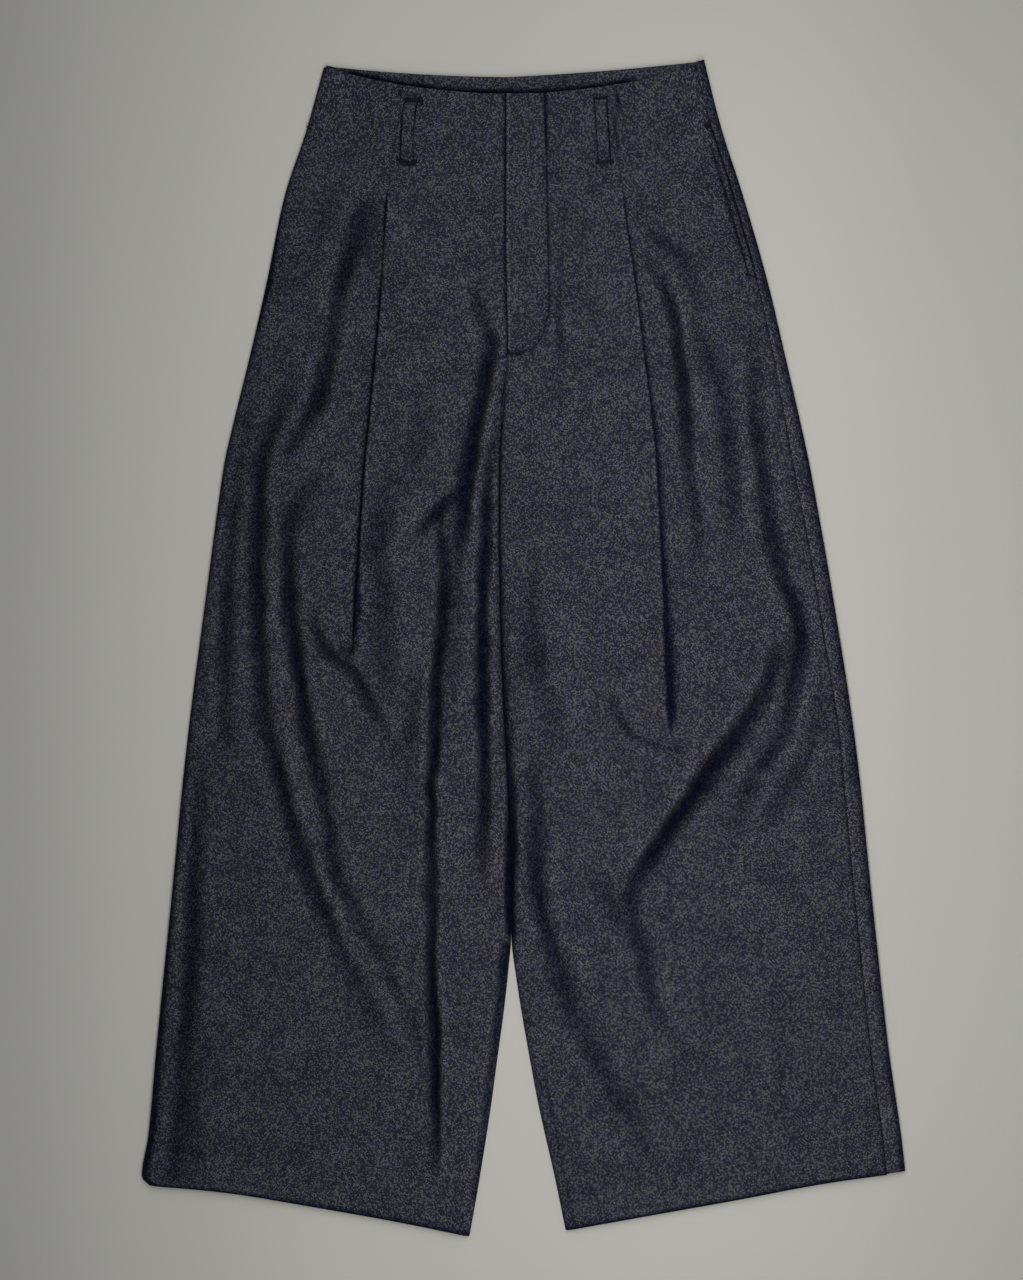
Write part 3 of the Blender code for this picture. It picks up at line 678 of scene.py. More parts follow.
def folds_at(x, y):
    """The height that the folds add, and the shade painted in their troughs, as the share of
    the light it takes. On the ridges beside a fold, which catch more light, it is negative: a painted
    highlight."""
    relief = np.zeros(x.shape)
    dip = np.zeros(x.shape)
    lit = np.zeros(x.shape)
    x = x + FOLD_STRAY * hills(x, y, FOLD_STRAY_SIZE, seed=3)
    y = y + FOLD_STRAY * hills(x, y, FOLD_STRAY_SIZE, seed=4)
    for number, fold in enumerate(FOLDS):
        path = smooth_path(fold.points)
        near = near_path(path, x, y, FOLD_REACH * fold.width)
        if not near.any():
            continue
        distance, side, along, passed = beside_path(path, x[near], y[near])
        waves = [
            height * np.sin(along / length + start * number) for length, start, height in FOLD_WAVES
        ]
        steep = side * mix(*np.broadcast_to(fold.lean, 2), along / passed)
        q = distance / (fold.width * (1 + sum(waves)) * (1 - FOLD_LEAN * steep))
        depth = np.interp(along, stations_on(path), path[:, 2])
        trough = beside(q, 1.0)
        ridge = beside(q, RIDGE_WIDTH, RIDGE_OFFSET) * (1 + RIDGE_LEAN * steep)
        relief[near] -= depth * (FOLD_RELIEF * trough - RIDGE_RISE * ridge)
        dip[near] += depth * trough
        lit[near] += np.minimum(depth, RIDGE_FULL) * ridge
    dip = dip * (1 + FOLD_UNEVEN * hills(x, y, FOLD_UNEVEN_SIZE, seed=6))
    kept = np.exp(-dip / PAINTED_SHADE_DEPTH)
    return relief, 1 - kept - RIDGE_LIGHT * np.minimum(lit, RIDGE_LIT_MOST) * kept


def marks_at(x, y):
    """How far in a groove or a painted shadow line a point is, from 0 to 1. It sets both
    how far the cloth sinks and how much shade is painted there.
    """
    deepest = np.zeros(x.shape)
    for mark in MARKS:
        path = smooth_path(mark.points)
        near = near_path(path, x, y, MARK_REACH * mark.reach)
        distance, side, along, passed = beside_path(path, x[near], y[near])
        strength = np.interp(along, stations_on(path), path[:, 2])
        deepest[near] = np.maximum(deepest[near], strength * beside(distance, mark.reach))
    return deepest


def waist_raise(down):
    """How far the back is lifted, near the waist, by its belt loops."""
    return WAIST_RAISE * (1 - ease_between(down, WAIST_RAISE_RUN))


def front_height(leg, across):
    """The height of a front's middle above the table, and the shade painted in its folds."""
    x, y = leg.at(across)
    down = leg.down
    inner_fall = ease_between(down, CROTCH_FRONT)
    from_inner = mix(1.0, arch(across / EDGE_RUN), inner_fall)
    from_outer = arch((leg.width - across) / EDGE_RUN)
    edge = EDGE_HEIGHT + EDGE_RAISE * waist_raise(down)
    crown = np.maximum(leg.line.crown * CROWN_SHARE, edge)
    z = mix(edge, crown, from_inner * from_outer)
    waist_calm = ease_between(down, WAIST_CALM)
    calm = waist_calm * ease((GARMENT_LENGTH - down) / HEM_CALM)
    relief, painted_shade = folds_at(x, y)
    relief = np.where(relief > 0, RIDGE_MOST * np.tanh(relief / RIDGE_MOST), relief)
    z = z + relief * calm
    for number, (size, rise) in enumerate(HILLS):
        hill = hills(x * HILL_STRETCH[0], y * HILL_STRETCH[1], size, HILL_SEED + number)
        z = z + hill * rise * mix(HILLS_CALMED, 1.0, calm)
    open_middle = ease((WAIST_OPEN_HALF - np.abs(x - WAIST_OPEN_MIDDLE)) / WAIST_OPEN_FADE)
    z = z + WAIST_OPENS * (1 - ease(down / WAIST_OPEN_RUN)) * open_middle
    lowest = LOWEST_FRONT + FRONT_RAISE * waist_raise(down)
    z = lowest + LEVELLING * np.logaddexp(0, (z - lowest) / LEVELLING)
    return z, painted_shade * waist_calm * ease((GARMENT_LENGTH - down) / HEM_FADE)


def pleat_shape(pleat, leg):
    """The offsets and lifts of the points across a pleat, for each line."""
    down = leg.down
    keys = (0.0, pleat.middle, pleat.end)
    depths = (pleat.depth_waist, pleat.depth_middle, pleat.depth_end)
    depth = smooth_values(keys, depths, np.minimum(down, pleat.end))
    swell = ease_between(down, (pleat.end - PLEAT_SWELLS, pleat.end))
    level = 2 * PLEAT_LAYER * (1 + PLEAT_SWELL * swell)
    level = level * (1 - ease((down - pleat.end - PLEAT_FADES[0]) / PLEAT_FADES[1]))
    sewn = 1 - ease_between(down, pleat.release)
    folded = 1 - ease((down - pleat.end) / PLEAT_OPENS)

    # A turn from the top layer, at height 1, to the middle one, at 0.5, and a turn
    # down to the bottom one, at 0, which runs out and rises to the leg's outer part
    turn = np.linspace(0, math.pi, 7)
    top_x = PLEAT_TURN * np.sin(turn) * mix(1.0, PLEAT_TURN_SEWN, sewn)
    top_z = 0.75 + 0.25 * np.cos(turn) + 0 * down
    under_x = -depth * np.linspace(0.2, 0.8, 4)
    under_z = 0.5 + 0 * under_x
    bottom_x = -depth - PLEAT_TURN * np.sin(turn)
    bottom_z = top_z - 0.5
    foot_x = mix(-depth, mix(PLEAT_FOOT, PLEAT_FOOT_SEWN, sewn), np.linspace(0.25, 1, 4))
    foot_z = 0 * foot_x
    open_rise = PLEAT_FOOT + PLEAT_RISE * (1 + PLEAT_SWELL_RISE * swell)
    rise_x = mix(open_rise, PLEAT_RISE_SEWN, sewn)
    rise_z = PLEAT_RISE_HEIGHTS * sewn
    closed_x = np.concatenate((top_x, under_x, bottom_x, foot_x, rise_x), axis=1)
    closed_z = np.concatenate((top_z, under_z, bottom_z, foot_z, rise_z), axis=1)
    share = np.linspace(0, 1, closed_x.shape[1])
    x = mix(PLEAT_OPEN_RUN * share, closed_x, folded)
    z = level * mix(1 - ease(share), closed_z, folded)
    return x, z, level, sewn


def soft_band(distance, down, band):
    """A tone that is full beside a line, then fades, as a table of bands says."""
    downs, full, fade = zip(*band)
    return 1 - ease((distance - np.interp(down, downs, full)) / np.interp(down, downs, fade))


def seam_inset(down):
    """How far inside the left side's outline its seam lies."""
    return smooth_values(*zip(*SIDE_SEAM_INSET), np.maximum(down, 0))


def side_open(down):
    """Where the side seam is left open as a pocket: 0 where it is sewn."""
    return ease_between(down, SIDE_OPENS) * (1 - ease_between(down, SIDE_CLOSES))


def edge_tones(leg, pleat, across, is_left):
    """The share of the light left by the shade painted at the edges, the fly and the
    pleat, more than all of it where a highlight is painted.
    """
    down = leg.down
    fly = 1 - ease_between(down, FLY_ENDS)
    seam = ease_between(down, FRONT_SEAM_STARTS)
    folded = ease_between(down, pleat.release)
    folded = folded * (1 - ease((down - pleat.end + PLEAT_SHADE_ENDS) / PLEAT_OPENS))
    if is_left:
        apart = ease_between(down, LEGS_SPREAD)
        reach = mix(*LEFT_SEAM_REACH, ease_between(down, LEFT_SEAM_WIDENS) * (1 - apart))
        seam = seam * mix(LEFT_SEAM_SHADE, LEFT_SEAM_SHADE_APART, apart)
        tones = (1 - seam * beside(across, reach)) * (1 + fly * tone_at(across, FLY_EDGE_LIGHT))
        seam_shade = mix(SIDE_SEAM_SHADE, SIDE_OPEN_SHADE, side_open(down))
        from_seam = leg.width - seam_inset(down) - across
        tones = tones * (1 - seam_shade * beside(from_seam, SIDE_SEAM_REACH))
        outer, inner = LEFT_SHADOW, LEFT_INNER_SHADOW
    else:
        tones = (1 - seam * tone_at(across, RIGHT_SEAM_SHADE)) * (1 - fly * tone_at(across, FLY_SHADE))
        edge_shade = np.interp(down, *zip(*SIDE_EDGE_SHADE))
        tones = tones * (1 - edge_shade * soft_band(leg.width - across, down, SIDE_EDGE))
        folded = folded * (1 - tone_at(down, RIGHT_PLEAT_PALE))
        outer, inner = RIGHT_SHADOW, RIGHT_INNER_SHADOW
    tones = tones * (1 - tone_at(GARMENT_LENGTH - down, HEM_SHADE))
    beyond = across - leg.to_pleat - PLEAT_SHADE_START
    shadow = np.where(beyond > 0, soft_band(beyond, down, outer), soft_band(-beyond, down, inner))
    lit = np.where(beyond > 0, 0, tone_at(beyond, PLEAT_LIGHT))
    lit = lit * (1 - ease_between(down, PLEAT_LIGHT_ENDS))
    return tones * (1 - PLEAT_SHADE * folded * shadow) * (1 + folded * lit)


def leg_gap(down):
    """How far apart the seam and the gap between the legs hold the cloth."""
    return mix(LEG_GAP_AT_CROTCH, LEG_GAP_AT_FORK, ease_between(down, LEG_GAP_OPENS))


def roll_down(z):
    """The heights of an edge's columns where it rolls down to the table."""
    return EDGE_CLEARANCE + (z - EDGE_CLEARANCE) * np.sin(EDGE_ROLL_ANGLES)


def front_cloth(leg, pleat, is_left, inner_count, outer_count):
    """A front's points: across, height and painted shade, one row to a line."""
    down = leg.down
    lap = -SEAM_GAP / 2 + 0 * down
    fly_lift = 0 * down
    if is_left:
        fly_lift = FLY_LIFT * (1 - ease_between(down, FLY_LIFT_ENDS))
    else:
        lap = mix(FLY_LAP, -SEAM_GAP / 2, ease_between(down, FLY_LAP_ENDS))
    fold_x, fold_z, level, sewn = pleat_shape(pleat, leg)

    def top_lift(across):
        """How far the fly's lap and the pleat's layers under it lift the cloth."""
        by_fly = fly_lift * (1 - ease((across - FLY_LAP_FULL) / FLY_LAP_FADE))
        by_pleat = ease((across - leg.to_pleat + PLEAT_COVER + PLEAT_SLOPE) / PLEAT_SLOPE)
        return np.maximum(by_fly, level * by_pleat)

    gap = HALF_WALL + leg_gap(down)
    start = mix(-lap, gap, ease_between(down, LEGS_PART))

    # The inner edge, which rolls down below the crotch, and the cloth up to the pleat
    edge = start + EDGE_ROLLS
    z, painted_shade = front_height(leg, edge)
    z = z + top_lift(edge)
    parts = [(edge, mix(z, roll_down(z), ease_between(down, CROTCH_FRONT)), painted_shade)]
    across = mix(edge[:, -1:], leg.to_pleat, np.arange(1, inner_count + 1) / (inner_count + 1))
    z, painted_shade = front_height(leg, across)
    parts.append((across, z + top_lift(across), painted_shade))

    # The pleat, the cloth beyond it and the right side, which rolls down
    across = leg.to_pleat + fold_x
    z, painted_shade = front_height(leg, across)
    parts.append((across, z + fold_z, painted_shade))
    edge = leg.width - HALF_WALL - EDGE_ROLLS
    end = leg.width - seam_inset(down) - SEAM_GAP if is_left else edge[:, -1:]
    across = mix(across[:, -1:], end, np.arange(1, outer_count + 1) / outer_count)
    z, painted_shade = front_height(leg, across)
    side_level = level * sewn * (1 - ease((across - leg.to_pleat) / PLEAT_LEVEL_RUN))
    parts.append((across, z + side_level, painted_shade))
    if not is_left:
        z, painted_shade = front_height(leg, edge)
        parts.append([part[:, -2::-1] for part in (edge, roll_down(z), painted_shade)])
    across, z, painted_shade = (np.concatenate(part, axis=1) for part in zip(*parts))
    groove_and_shade = marks_at(*leg.at(across))
    z = z - GROOVE_DEPTH * groove_and_shade
    # The marks sink the cloth and are painted darker, and the edges and pleats add painted shade and
    # highlights
    return across, z, 1 - (1 - painted_shade) * (1 - groove_and_shade) * edge_tones(leg, pleat, across, is_left)


def on_leg(leg, across, z):
    """Points in metres, from places on a leg's lines and heights."""
    x, y = leg.at(across)
    return np.stack((x, y, z), axis=2) * MM


def outward(points):
    """The direction out of the cloth at each point of a sheet."""
    normals = np.cross(np.gradient(points, axis=0), np.gradient(points, axis=1))
    normals /= np.linalg.norm(normals, axis=2, keepdims=True)
    if normals[..., 2].sum() < 0:
        normals = -normals
    return normals


def turn_edge(points, painted_shade, radius, angles, tucked):
    """A sheet with its last row turned under, and some rows tucked inside."""
    normals = outward(points)
    ahead = points[-1] - points[-3]
    ahead /= np.linalg.norm(ahead, axis=1, keepdims=True)
    radius = radius * MM
    rows = []
    for angle in angles:
        in_turn = ahead * math.sin(angle) - normals[-1] * (1 - math.cos(angle))
        rows.append(points[-1] + in_turn * radius)
    for i in range(2, tucked + 2):
        rows.append(points[-i] - normals[-i] * 2 * radius)
    turned_painted_shade = np.repeat(painted_shade[-1:], len(rows), axis=0)
    return np.concatenate((points, rows)), np.concatenate((painted_shade, turned_painted_shade))


def add_piece(name, points, faces, material):
    """A smooth mesh of the trousers."""
    mesh = bpy.data.meshes.new(name)
    mesh.from_pydata(points.tolist(), [], faces)
    mesh.polygons.foreach_set("use_smooth", np.ones(len(faces), bool))
    mesh.materials.append(material)
    mesh.update()
    piece = bpy.data.objects.new(name, mesh)
    bpy.context.scene.collection.objects.link(piece)
    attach(piece, "root")
    return piece


def add_cloth(name, node, points, painted_shade, wall, mirrored=False, origin=0):
    """A piece of cloth with its grain as a UV map in metres, for a CAD node."""
    rows, across = points.shape[:2]
    index = np.arange(rows * across).reshape(rows, across)
    corners = (index[:-1, :-1], index[1:, :-1], index[1:, 1:], index[:-1, 1:])
    faces = np.stack(corners, axis=2).reshape(-1, 4)
    flat = points.reshape(-1, 3)
    normals = np.cross(flat[faces[:, 2]] - flat[faces[:, 0]], flat[faces[:, 3]] - flat[faces[:, 1]])
    if normals[:, 2].sum() < 0:
        faces = faces[:, ::-1]
    piece = add_piece(name, flat, faces.tolist(), melange_twill)
    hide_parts(node)

    step = np.linalg.norm(np.diff(points, axis=1), axis=2)
    u = np.concatenate((np.zeros((rows, 1)), np.cumsum(step, axis=1)), axis=1)
    u = u - u[:, origin:origin + 1]
    if mirrored:
        u = -u
    middle = np.linalg.norm(np.diff(points[:, across // 2], axis=0), axis=1)
    v = -np.concatenate(([0.0], np.cumsum(middle)))[:, None] + 0 * u
    grain = np.stack((u, v), axis=2).reshape(-1, 2)
    loops = np.empty(len(piece.data.loops), int)
    piece.data.loops.foreach_get("vertex_index", loops)
    piece.data.uv_layers.new(name="grain").data.foreach_set("uv", grain[loops].ravel())
    # The shade and highlights painted into the cloth's colour, kept as an attribute for its material
    depth = piece.data.attributes.new("painted_shade", "FLOAT", "POINT")
    depth.data.foreach_set("value", painted_shade.ravel().astype(np.float32))
    shell = piece.modifiers.new("wall", "SOLIDIFY")
    shell.thickness = wall * MM
    shell.offset = 0.0
    shell.use_rim = True
    return piece


# The twill: a navy warp and a grey weft of mixed fibres, in fine diagonal ribs
TWILL_RIB = 0.00130
TWILL_FLOAT = 0.00128
TWILL_SLANT = math.radians(55)
twill = Finish("melange_twill")
grain = twill.add("ShaderNodeUVMap", {"uv_map": "grain"}, {})
grain_parts = {"Vector": grain}
across_grain = twill.add("ShaderNodeSeparateXYZ", {}, grain_parts, 0)
along_grain = twill.add("ShaderNodeSeparateXYZ", {}, grain_parts, 1)
wander = (twill.noise(grain, size=0.02, detail=1.0) - 0.5) * 0.0016


def repeat(value):
    """The number of each repeat, and a bump from 0 at its ends to 1."""
    number = twill.add("ShaderNodeMath", {"operation": "FLOOR"}, {0: value})
    off_middle = (value - number) * 2 - 1
    return number, 1 - off_middle * off_middle


over_ribs = across_grain * math.sin(TWILL_SLANT) + along_grain * math.cos(TWILL_SLANT) + wander
rib, rib_bump = repeat(over_ribs * (1 / TWILL_RIB))
on_rib = across_grain * math.cos(TWILL_SLANT) - along_grain * math.sin(TWILL_SLANT) + wander
dash, dash_bump = repeat(on_rib * (1 / TWILL_FLOAT) + rib * 0.37)
yarn_place = twill.add("ShaderNodeCombineXYZ", {}, {0: rib, 1: dash})
yarn_shade = twill.add("ShaderNodeTexWhiteNoise", {"noise_dimensions": "2D"}, {0: yarn_place}, "Value")
fleck = twill.add("ShaderNodeTexWhiteNoise", {"noise_dimensions": "3D"}, {0: yarn_place}, "Value")
fleck = twill.step(fleck, 0.94, 0.99) * rib_bump * dash_bump
slubs = twill.noise(grain, size=0.011, detail=4.0, roughness=0.6)
rib_pair = twill.add("ShaderNodeMath", {"operation": "FRACT"}, {0: rib * 0.5}) * 0.5 + 0.875
mottle = twill.noise(grain, size=0.034, detail=5.0, roughness=0.6)
slub_share = (slubs * 1.2 + 0.4) * (mottle * 1.9 + 0.05)
yarn_share = yarn_shade * yarn_shade * yarn_shade * 1.85 + 0.19
weave = rib_bump * dash_bump * rib_pair * slub_share * yarn_share
patches = twill.step(twill.noise(grain, size=0.008, roughness=0.55), 0.36, 0.64)
clouds = twill.step(twill.noise(grain, size=0.04), 0.30, 0.70)
nap = twill.noise(grain, size=0.006, detail=3.0, roughness=0.6)
# Painted shade: the cloth's attribute darkens its colour towards deep navy in folds, seams and pleats'
# shadows, and where it is below zero it paints a highlight
painted_shade_level = twill.add("ShaderNodeAttribute", {"attribute_name": "painted_shade"}, {}, "Fac")
painted_shade_level = painted_shade_level * (nap * 0.5 + 0.75)
painted_shade_tint = twill.blend((painted_shade_level + 0.4) * (1 / 1.4), (1.17, 1.163, 1.153, 1), (0.028, 0.050, 0.165, 1))
grey = twill.blend(patches, (0.131, 0.137, 0.181, 1), (0.160, 0.154, 0.165, 1))
cloth_colour = twill.blend(weave, (0.0070, 0.0080, 0.0186, 1), grey)
cloth_colour = twill.blend(fleck * 0.55, cloth_colour, (0.22, 0.22, 0.25, 1))
cloth_colour = twill.blend(clouds * 0.14, cloth_colour, (0.020, 0.021, 0.036, 1))
multiply = {"data_type": "RGBA", "blend_type": "MULTIPLY"}
cloth_colour = twill.add("ShaderNodeMix", multiply, {0: 1.0, 6: cloth_colour, 7: painted_shade_tint}, 2)
bump_height = rib_bump * dash_bump * 0.8 + nap * 1.6
bump_values = {"Strength": 0.55, "Distance": 0.00022, "Height": bump_height}
cloth_bump = twill.add("ShaderNodeBump", {}, bump_values)
twill.surface(
    Base_Color=cloth_colour, Roughness=weave * -0.08 + 0.92, Normal=cloth_bump,
    Sheen_Weight=0.02, Sheen_Roughness=0.5, Specular_IOR_Level=0.06,
)
twill.shader.inputs["Sheen Tint"].default_value = (0.62, 0.66, 0.80, 1)
melange_twill = twill.material


def add_front(node, rows, pleat, is_left, inner_count, outer_count):
    """A front with its hem and waist turned under. Its grain starts at the pleat."""
    leg = Leg(rows, np.linspace(0, GARMENT_LENGTH, ROWS))
    across, z, painted_shade = front_cloth(leg, pleat, is_left, inner_count, outer_count)
    points = on_leg(leg, across, z)
    points, painted_shade = turn_edge(points, painted_shade, HEM_TURN, HEM_TURN_ANGLES, HEM_ALLOWANCE_ROWS)
    points, painted_shade = turn_edge(points[::-1], painted_shade[::-1], WAIST_TURN, WAIST_TURN_ANGLES, 0)
    at_pleat = len(EDGE_ROLLS) + inner_count
    return add_cloth("cloth_" + node, node, points[::-1], painted_shade[::-1], CLOTH, not is_left, at_pleat)


front_right = add_front("front_right", RIGHT_LEG, RIGHT_PLEAT, False, inner_count=64, outer_count=74)


# Left front
# It mirrors the right one, but laps over it at the fly, and ends at a side
# seam that lies on the top, where the left back comes round the leg.

LEFT_LEG = (
    Row(0, -14.3, 507.6, 82.5, 515.2, 167.9, 537.0, 5.6),
    Row(35, -14.3, 475.9, 86.2, 478.6, 182.6, 478.6, 5.6),
    Row(95, -14.3, 416.1, 91.3, 418.8, 201.9, 418.8, 6.2),
    Row(177, -13.3, 334.2, 102.8, 335.1, 225.4, 337.0, 7.6),
    Row(240, -12.4, 270.7, 110.6, 272.6, 240.6, 272.6, 8.8),
    Row(310, -17.5, 200.8, 119.1, 202.6, 256.7, 202.6, 10.6),
    Row(349, -19.8, 162.2, 122.4, 164.0, 264.5, 165.8, 11.6),
    Row(466, -20.7, 44.4, 128.0, 48.1, 284.7, 51.8, 12.4),
    Row(618, -16.1, -107.4, 135.6, -95.5, 306.0, -86.3, 12.4),
    Row(779, -10.0, -268.4, 147.0, -250.0, 321.9, -236.2, 11.4),
    Row(912, 10.8, -401.8, 163.3, -381.6, 336.2, -365.0, 8.8),
    Row(1000, 29.9, -489.2, 174.3, -463.5, 347.3, -441.4, 6.0),
    Row(1050, 39.1, -534.3, 179.9, -509.2, 351.9, -480.9, 4.5),
)

front_left = add_front("front_left", LEFT_LEG, LEFT_PLEAT, True, inner_count=84, outer_count=64)


# Backs
# Both backs lie on the table. The left one comes round the side and is sewn to
# the front on the top. Their waist stands above the front's and is faced.

BACK_TOP = -16.0
RIGHT_BACK_WAIST = Row(BACK_TOP, -14.3, 525.0, -100, 528.0, -183.0, 535.2, 0)
LEFT_BACK_WAIST = Row(BACK_TOP, -14.3, 525.0, 70, 530.3, 167.9, 539.8, 0)
CROTCH_BACK = (225.0, 262.0)
BACK_DRAWN_IN = 1.0
BACK_WALL = 1.2
TURN_UNDER = 2.2
TURN_UNDER_ANGLE = math.radians(48)
TURN_UNDER_SHARES = (0.35, 0.675, 1.0)
BACK_ROWS = 120
BACK_STEPS = 56
ROUND_STEPS = 8

# The tones of the side that comes round: shade painted at its outline, and light painted
# on a paler strip beside it and beside the seam, with shade painted in the pocket's mouth
ROUND_SHADE = Tone(0.80, 5.2)
ROUND_LIGHT_BAND = (3.6, 8.3)
ROUND_LIGHT = (
    (220, 0.0), (250, 0.16), (330, 0.14), (450, 0.06), (520, 0.0), (640, 0.0), (700, 0.24),
    (1050, 0.30),
)
SIDE_SEAM_LIGHT = Tone(0.40, 1.6, 2.0)
POCKET_MOUTH_SHADE = 0.95
POCKET_MOUTH_REACH = 1.3

BACK_CREASE_INSET = 25.0
BACK_CREASE_STARTS = (60.0, 120.0)
BACK_ROOM = 2.4
BACK_CREASES = (
    Fold("back_right_thigh", 9, 0, (
        (-120, 330, 0.4), (-150, 240, 2.2), (-190, 150, 1.6), (-220, 60, 2.4), (-236, -40, 0.5))),
    Fold("back_right_knee", 8, 0, (
        (-60, 150, 0.4), (-90, 70, 2.4), (-110, -20, 2.6), (-112, -110, 1.6), (-98, -190, 0.4))),
    Fold("back_right_seat", 10, 0, ((-30, 250, 0.8), (-70, 215, 1.9), (-120, 200, 0.6))),
    Fold("back_right_hem", 9, 0, ((-170, -250, 0.4), (-190, -340, 1.7), (-230, -430, 0.8))),
    Fold("back_left_thigh", 9, 0, (
        (95, 320, 0.5), (130, 240, 2.4), (170, 150, 2.0), (205, 70, 1.4), (215, -20, 0.4))),
    Fold("back_left_knee", 8, 0, (
        (30, 160, 0.4), (50, 80, 1.8), (90, 0, 2.6), (100, -90, 2.2), (88, -170, 0.5))),
    Fold("back_left_seat", 10, 0, ((5, 255, 0.6), (40, 225, 1.9), (90, 205, 0.8))),
    Fold("back_left_hem", 9, 0, ((160, -240, 0.4), (175, -330, 1.6), (215, -420, 0.9))),
)


def back_relief(x, y):
    """How far the back's own creases stand up from the table."""
    rise = np.zeros(x.shape)
    for fold in BACK_CREASES:
        path = smooth_path(fold.points)
        distance, side, along, passed = beside_path(path, x, y)
        rise += np.interp(along, stations_on(path), path[:, 2]) * beside(distance, fold.width)
    return rise


def round_tone(from_edge, down):
    """The shade painted at the turned side's outline, and the light painted on the strip beside it."""
    light = np.interp(down, *zip(*ROUND_LIGHT)) * beside(from_edge, *ROUND_LIGHT_BAND)
    return tone_at(from_edge, ROUND_SHADE) - light


def add_back(node, rows, waist, is_left):
    """A back, which lies on the table. The left one also goes round to its seam."""
    spread = np.concatenate(([BACK_TOP, BACK_TOP / 2], np.linspace(0, GARMENT_LENGTH, BACK_ROWS)))
    leg = Leg((waist,) + rows, spread)
    lower = Leg(rows, np.maximum(spread, 0))
    down = leg.down
    drawn_in = BACK_WALL + SEAM_GAP + BACK_DRAWN_IN
    start = mix(SEAM_GAP / 2, drawn_in + leg_gap(down), ease_between(down, CROTCH_BACK))
    floor_z = HALF_WALL + waist_raise(down)
    edge = leg.width - HALF_WALL
    end = edge - TURN_UNDER if is_left else leg.width - drawn_in
    across = mix(start, end, np.linspace(0, 1, BACK_STEPS))
    relief = back_relief(*leg.at(across)) * ease_between(down, BACK_CREASE_STARTS)
    relief = relief * ease(np.minimum(across - start, end - across) / BACK_CREASE_INSET)
    room = np.maximum(front_height(lower, across)[0] - BACK_ROOM - floor_z, 0)
    parts = [(across, floor_z + np.minimum(relief, room), 0 * across)]
    if is_left:
        side_z = (floor_z + front_height(lower, edge - EDGE_ROLL)[0]) / 2
        for share in TURN_UNDER_SHARES:
            turned = edge - TURN_UNDER * (1 - math.cos(TURN_UNDER_ANGLE * (1 - share)))
            parts.append((turned, mix(floor_z, side_z, share / 2), 0 * turned + ROUND_SHADE.share))
        turned = edge - EDGE_ROLLS
        z = mix(side_z, front_height(lower, turned)[0], np.sin(EDGE_ROLL_ANGLES))
        parts.append((turned, z, round_tone(edge - turned, down)))
        seam = leg.width - seam_inset(down)
        turned = mix(turned[:, -1:], seam, np.arange(1, ROUND_STEPS + 1) / ROUND_STEPS)
        tone = round_tone(edge - turned, down) - tone_at(turned - seam, SIDE_SEAM_LIGHT)
        mouth = beside(turned - seam, POCKET_MOUTH_REACH) * side_open(down)
        parts.append((turned, front_height(lower, turned)[0], mix(tone, POCKET_MOUTH_SHADE, mouth)))
    across, z, painted_shade = (np.concatenate(part, axis=1) for part in zip(*parts))
    return add_cloth("cloth_" + node, node, on_leg(leg, across, z), painted_shade, CLOTH, not is_left)


back_right = add_back("back_right", RIGHT_LEG, RIGHT_BACK_WAIST, False)
back_left = add_back("back_left", LEFT_LEG, LEFT_BACK_WAIST, True)


# Back waist facing
# A strip of the same twill inside the back waist, turned in at its top and
# sewn through close to the edge. It shows above the front's edge.

FACING_DEPTH = 30.0
FACING_INSET = 0.8
FACING_FROM_ROLL = 9.0
FACING_FROM_SIDE_SEAM = 13.5
FACING_STEPS = 60
FACING_LIFT = 3.0
FACING_WALL = 0.8
FACING_RIPPLE = 0.15
FACING_RIPPLE_SIZE = 22.0
FACING_RIPPLE_RUN = 4.0
FRONT_EDGE_WIDTH = 190.0

# Each line of the facing: how far below its top edge, and how high. It dips where
# the pick stitches pull it in.
FACING_LINES = (
    (0.2, -0.25), (0.0, 0.0), (0.5, 0.25), (2.2, 0.3), (3.2, 0.12), (4.4, 0.3), (6.5, 0.3),
    (8.5, 0.3), (10.5, 0.3), (12.5, 0.3), (14.5, 0.3), (20, 0.3), (FACING_DEPTH, 0.3),
)

# The front's shadow, painted on it: in millimetres above the front's edge, and the places
# across at each side where that painted shadow starts
FACING_SHADE = (8.0, 4.0)
FACING_SHADE_RIGHT = (-172.0, -156.0)
FACING_SHADE_LEFT = (112.0, 92.0)


def waist_line(right, left, right_across, left_across):
    """A line along the waist, from the right side to the left one."""
    right_line = right.at(right_across[None, ::-1])
    left_line = left.at(left_across[None, 1:])
    return [np.concatenate(parts, axis=1)[0] for parts in zip(right_line, left_line)]


share = np.linspace(0, 1, FACING_STEPS + 1)
right_top = Leg((RIGHT_BACK_WAIST,) + RIGHT_LEG, [BACK_TOP])
left_top = Leg((LEFT_BACK_WAIST,) + LEFT_LEG, [BACK_TOP])
edge_x, edge_y = waist_line(
    right_top, left_top,
    (right_top.width[0, 0] - FACING_FROM_ROLL) * share,
    (left_top.width[0, 0] - FACING_FROM_SIDE_SEAM) * share,
)
facing_lines = []
for depth, lift in FACING_LINES:
    ripple = FACING_RIPPLE * hills(edge_x, edge_y - depth, FACING_RIPPLE_SIZE, seed=5)
    z = FACING_LIFT + HALF_WALL + lift + ripple * min(depth / FACING_RIPPLE_RUN, 1)
    facing_lines.append(np.stack((edge_x, edge_y - FACING_INSET - depth, z), axis=1))
facing_lines = np.array(facing_lines)
front_across = np.linspace(0, FRONT_EDGE_WIDTH, 40)
front_edge = waist_line(Leg(RIGHT_LEG, [0.0]), Leg(LEFT_LEG, [0.0]), front_across, front_across)
above_front = facing_lines[..., 1] - np.interp(facing_lines[..., 0], *front_edge)
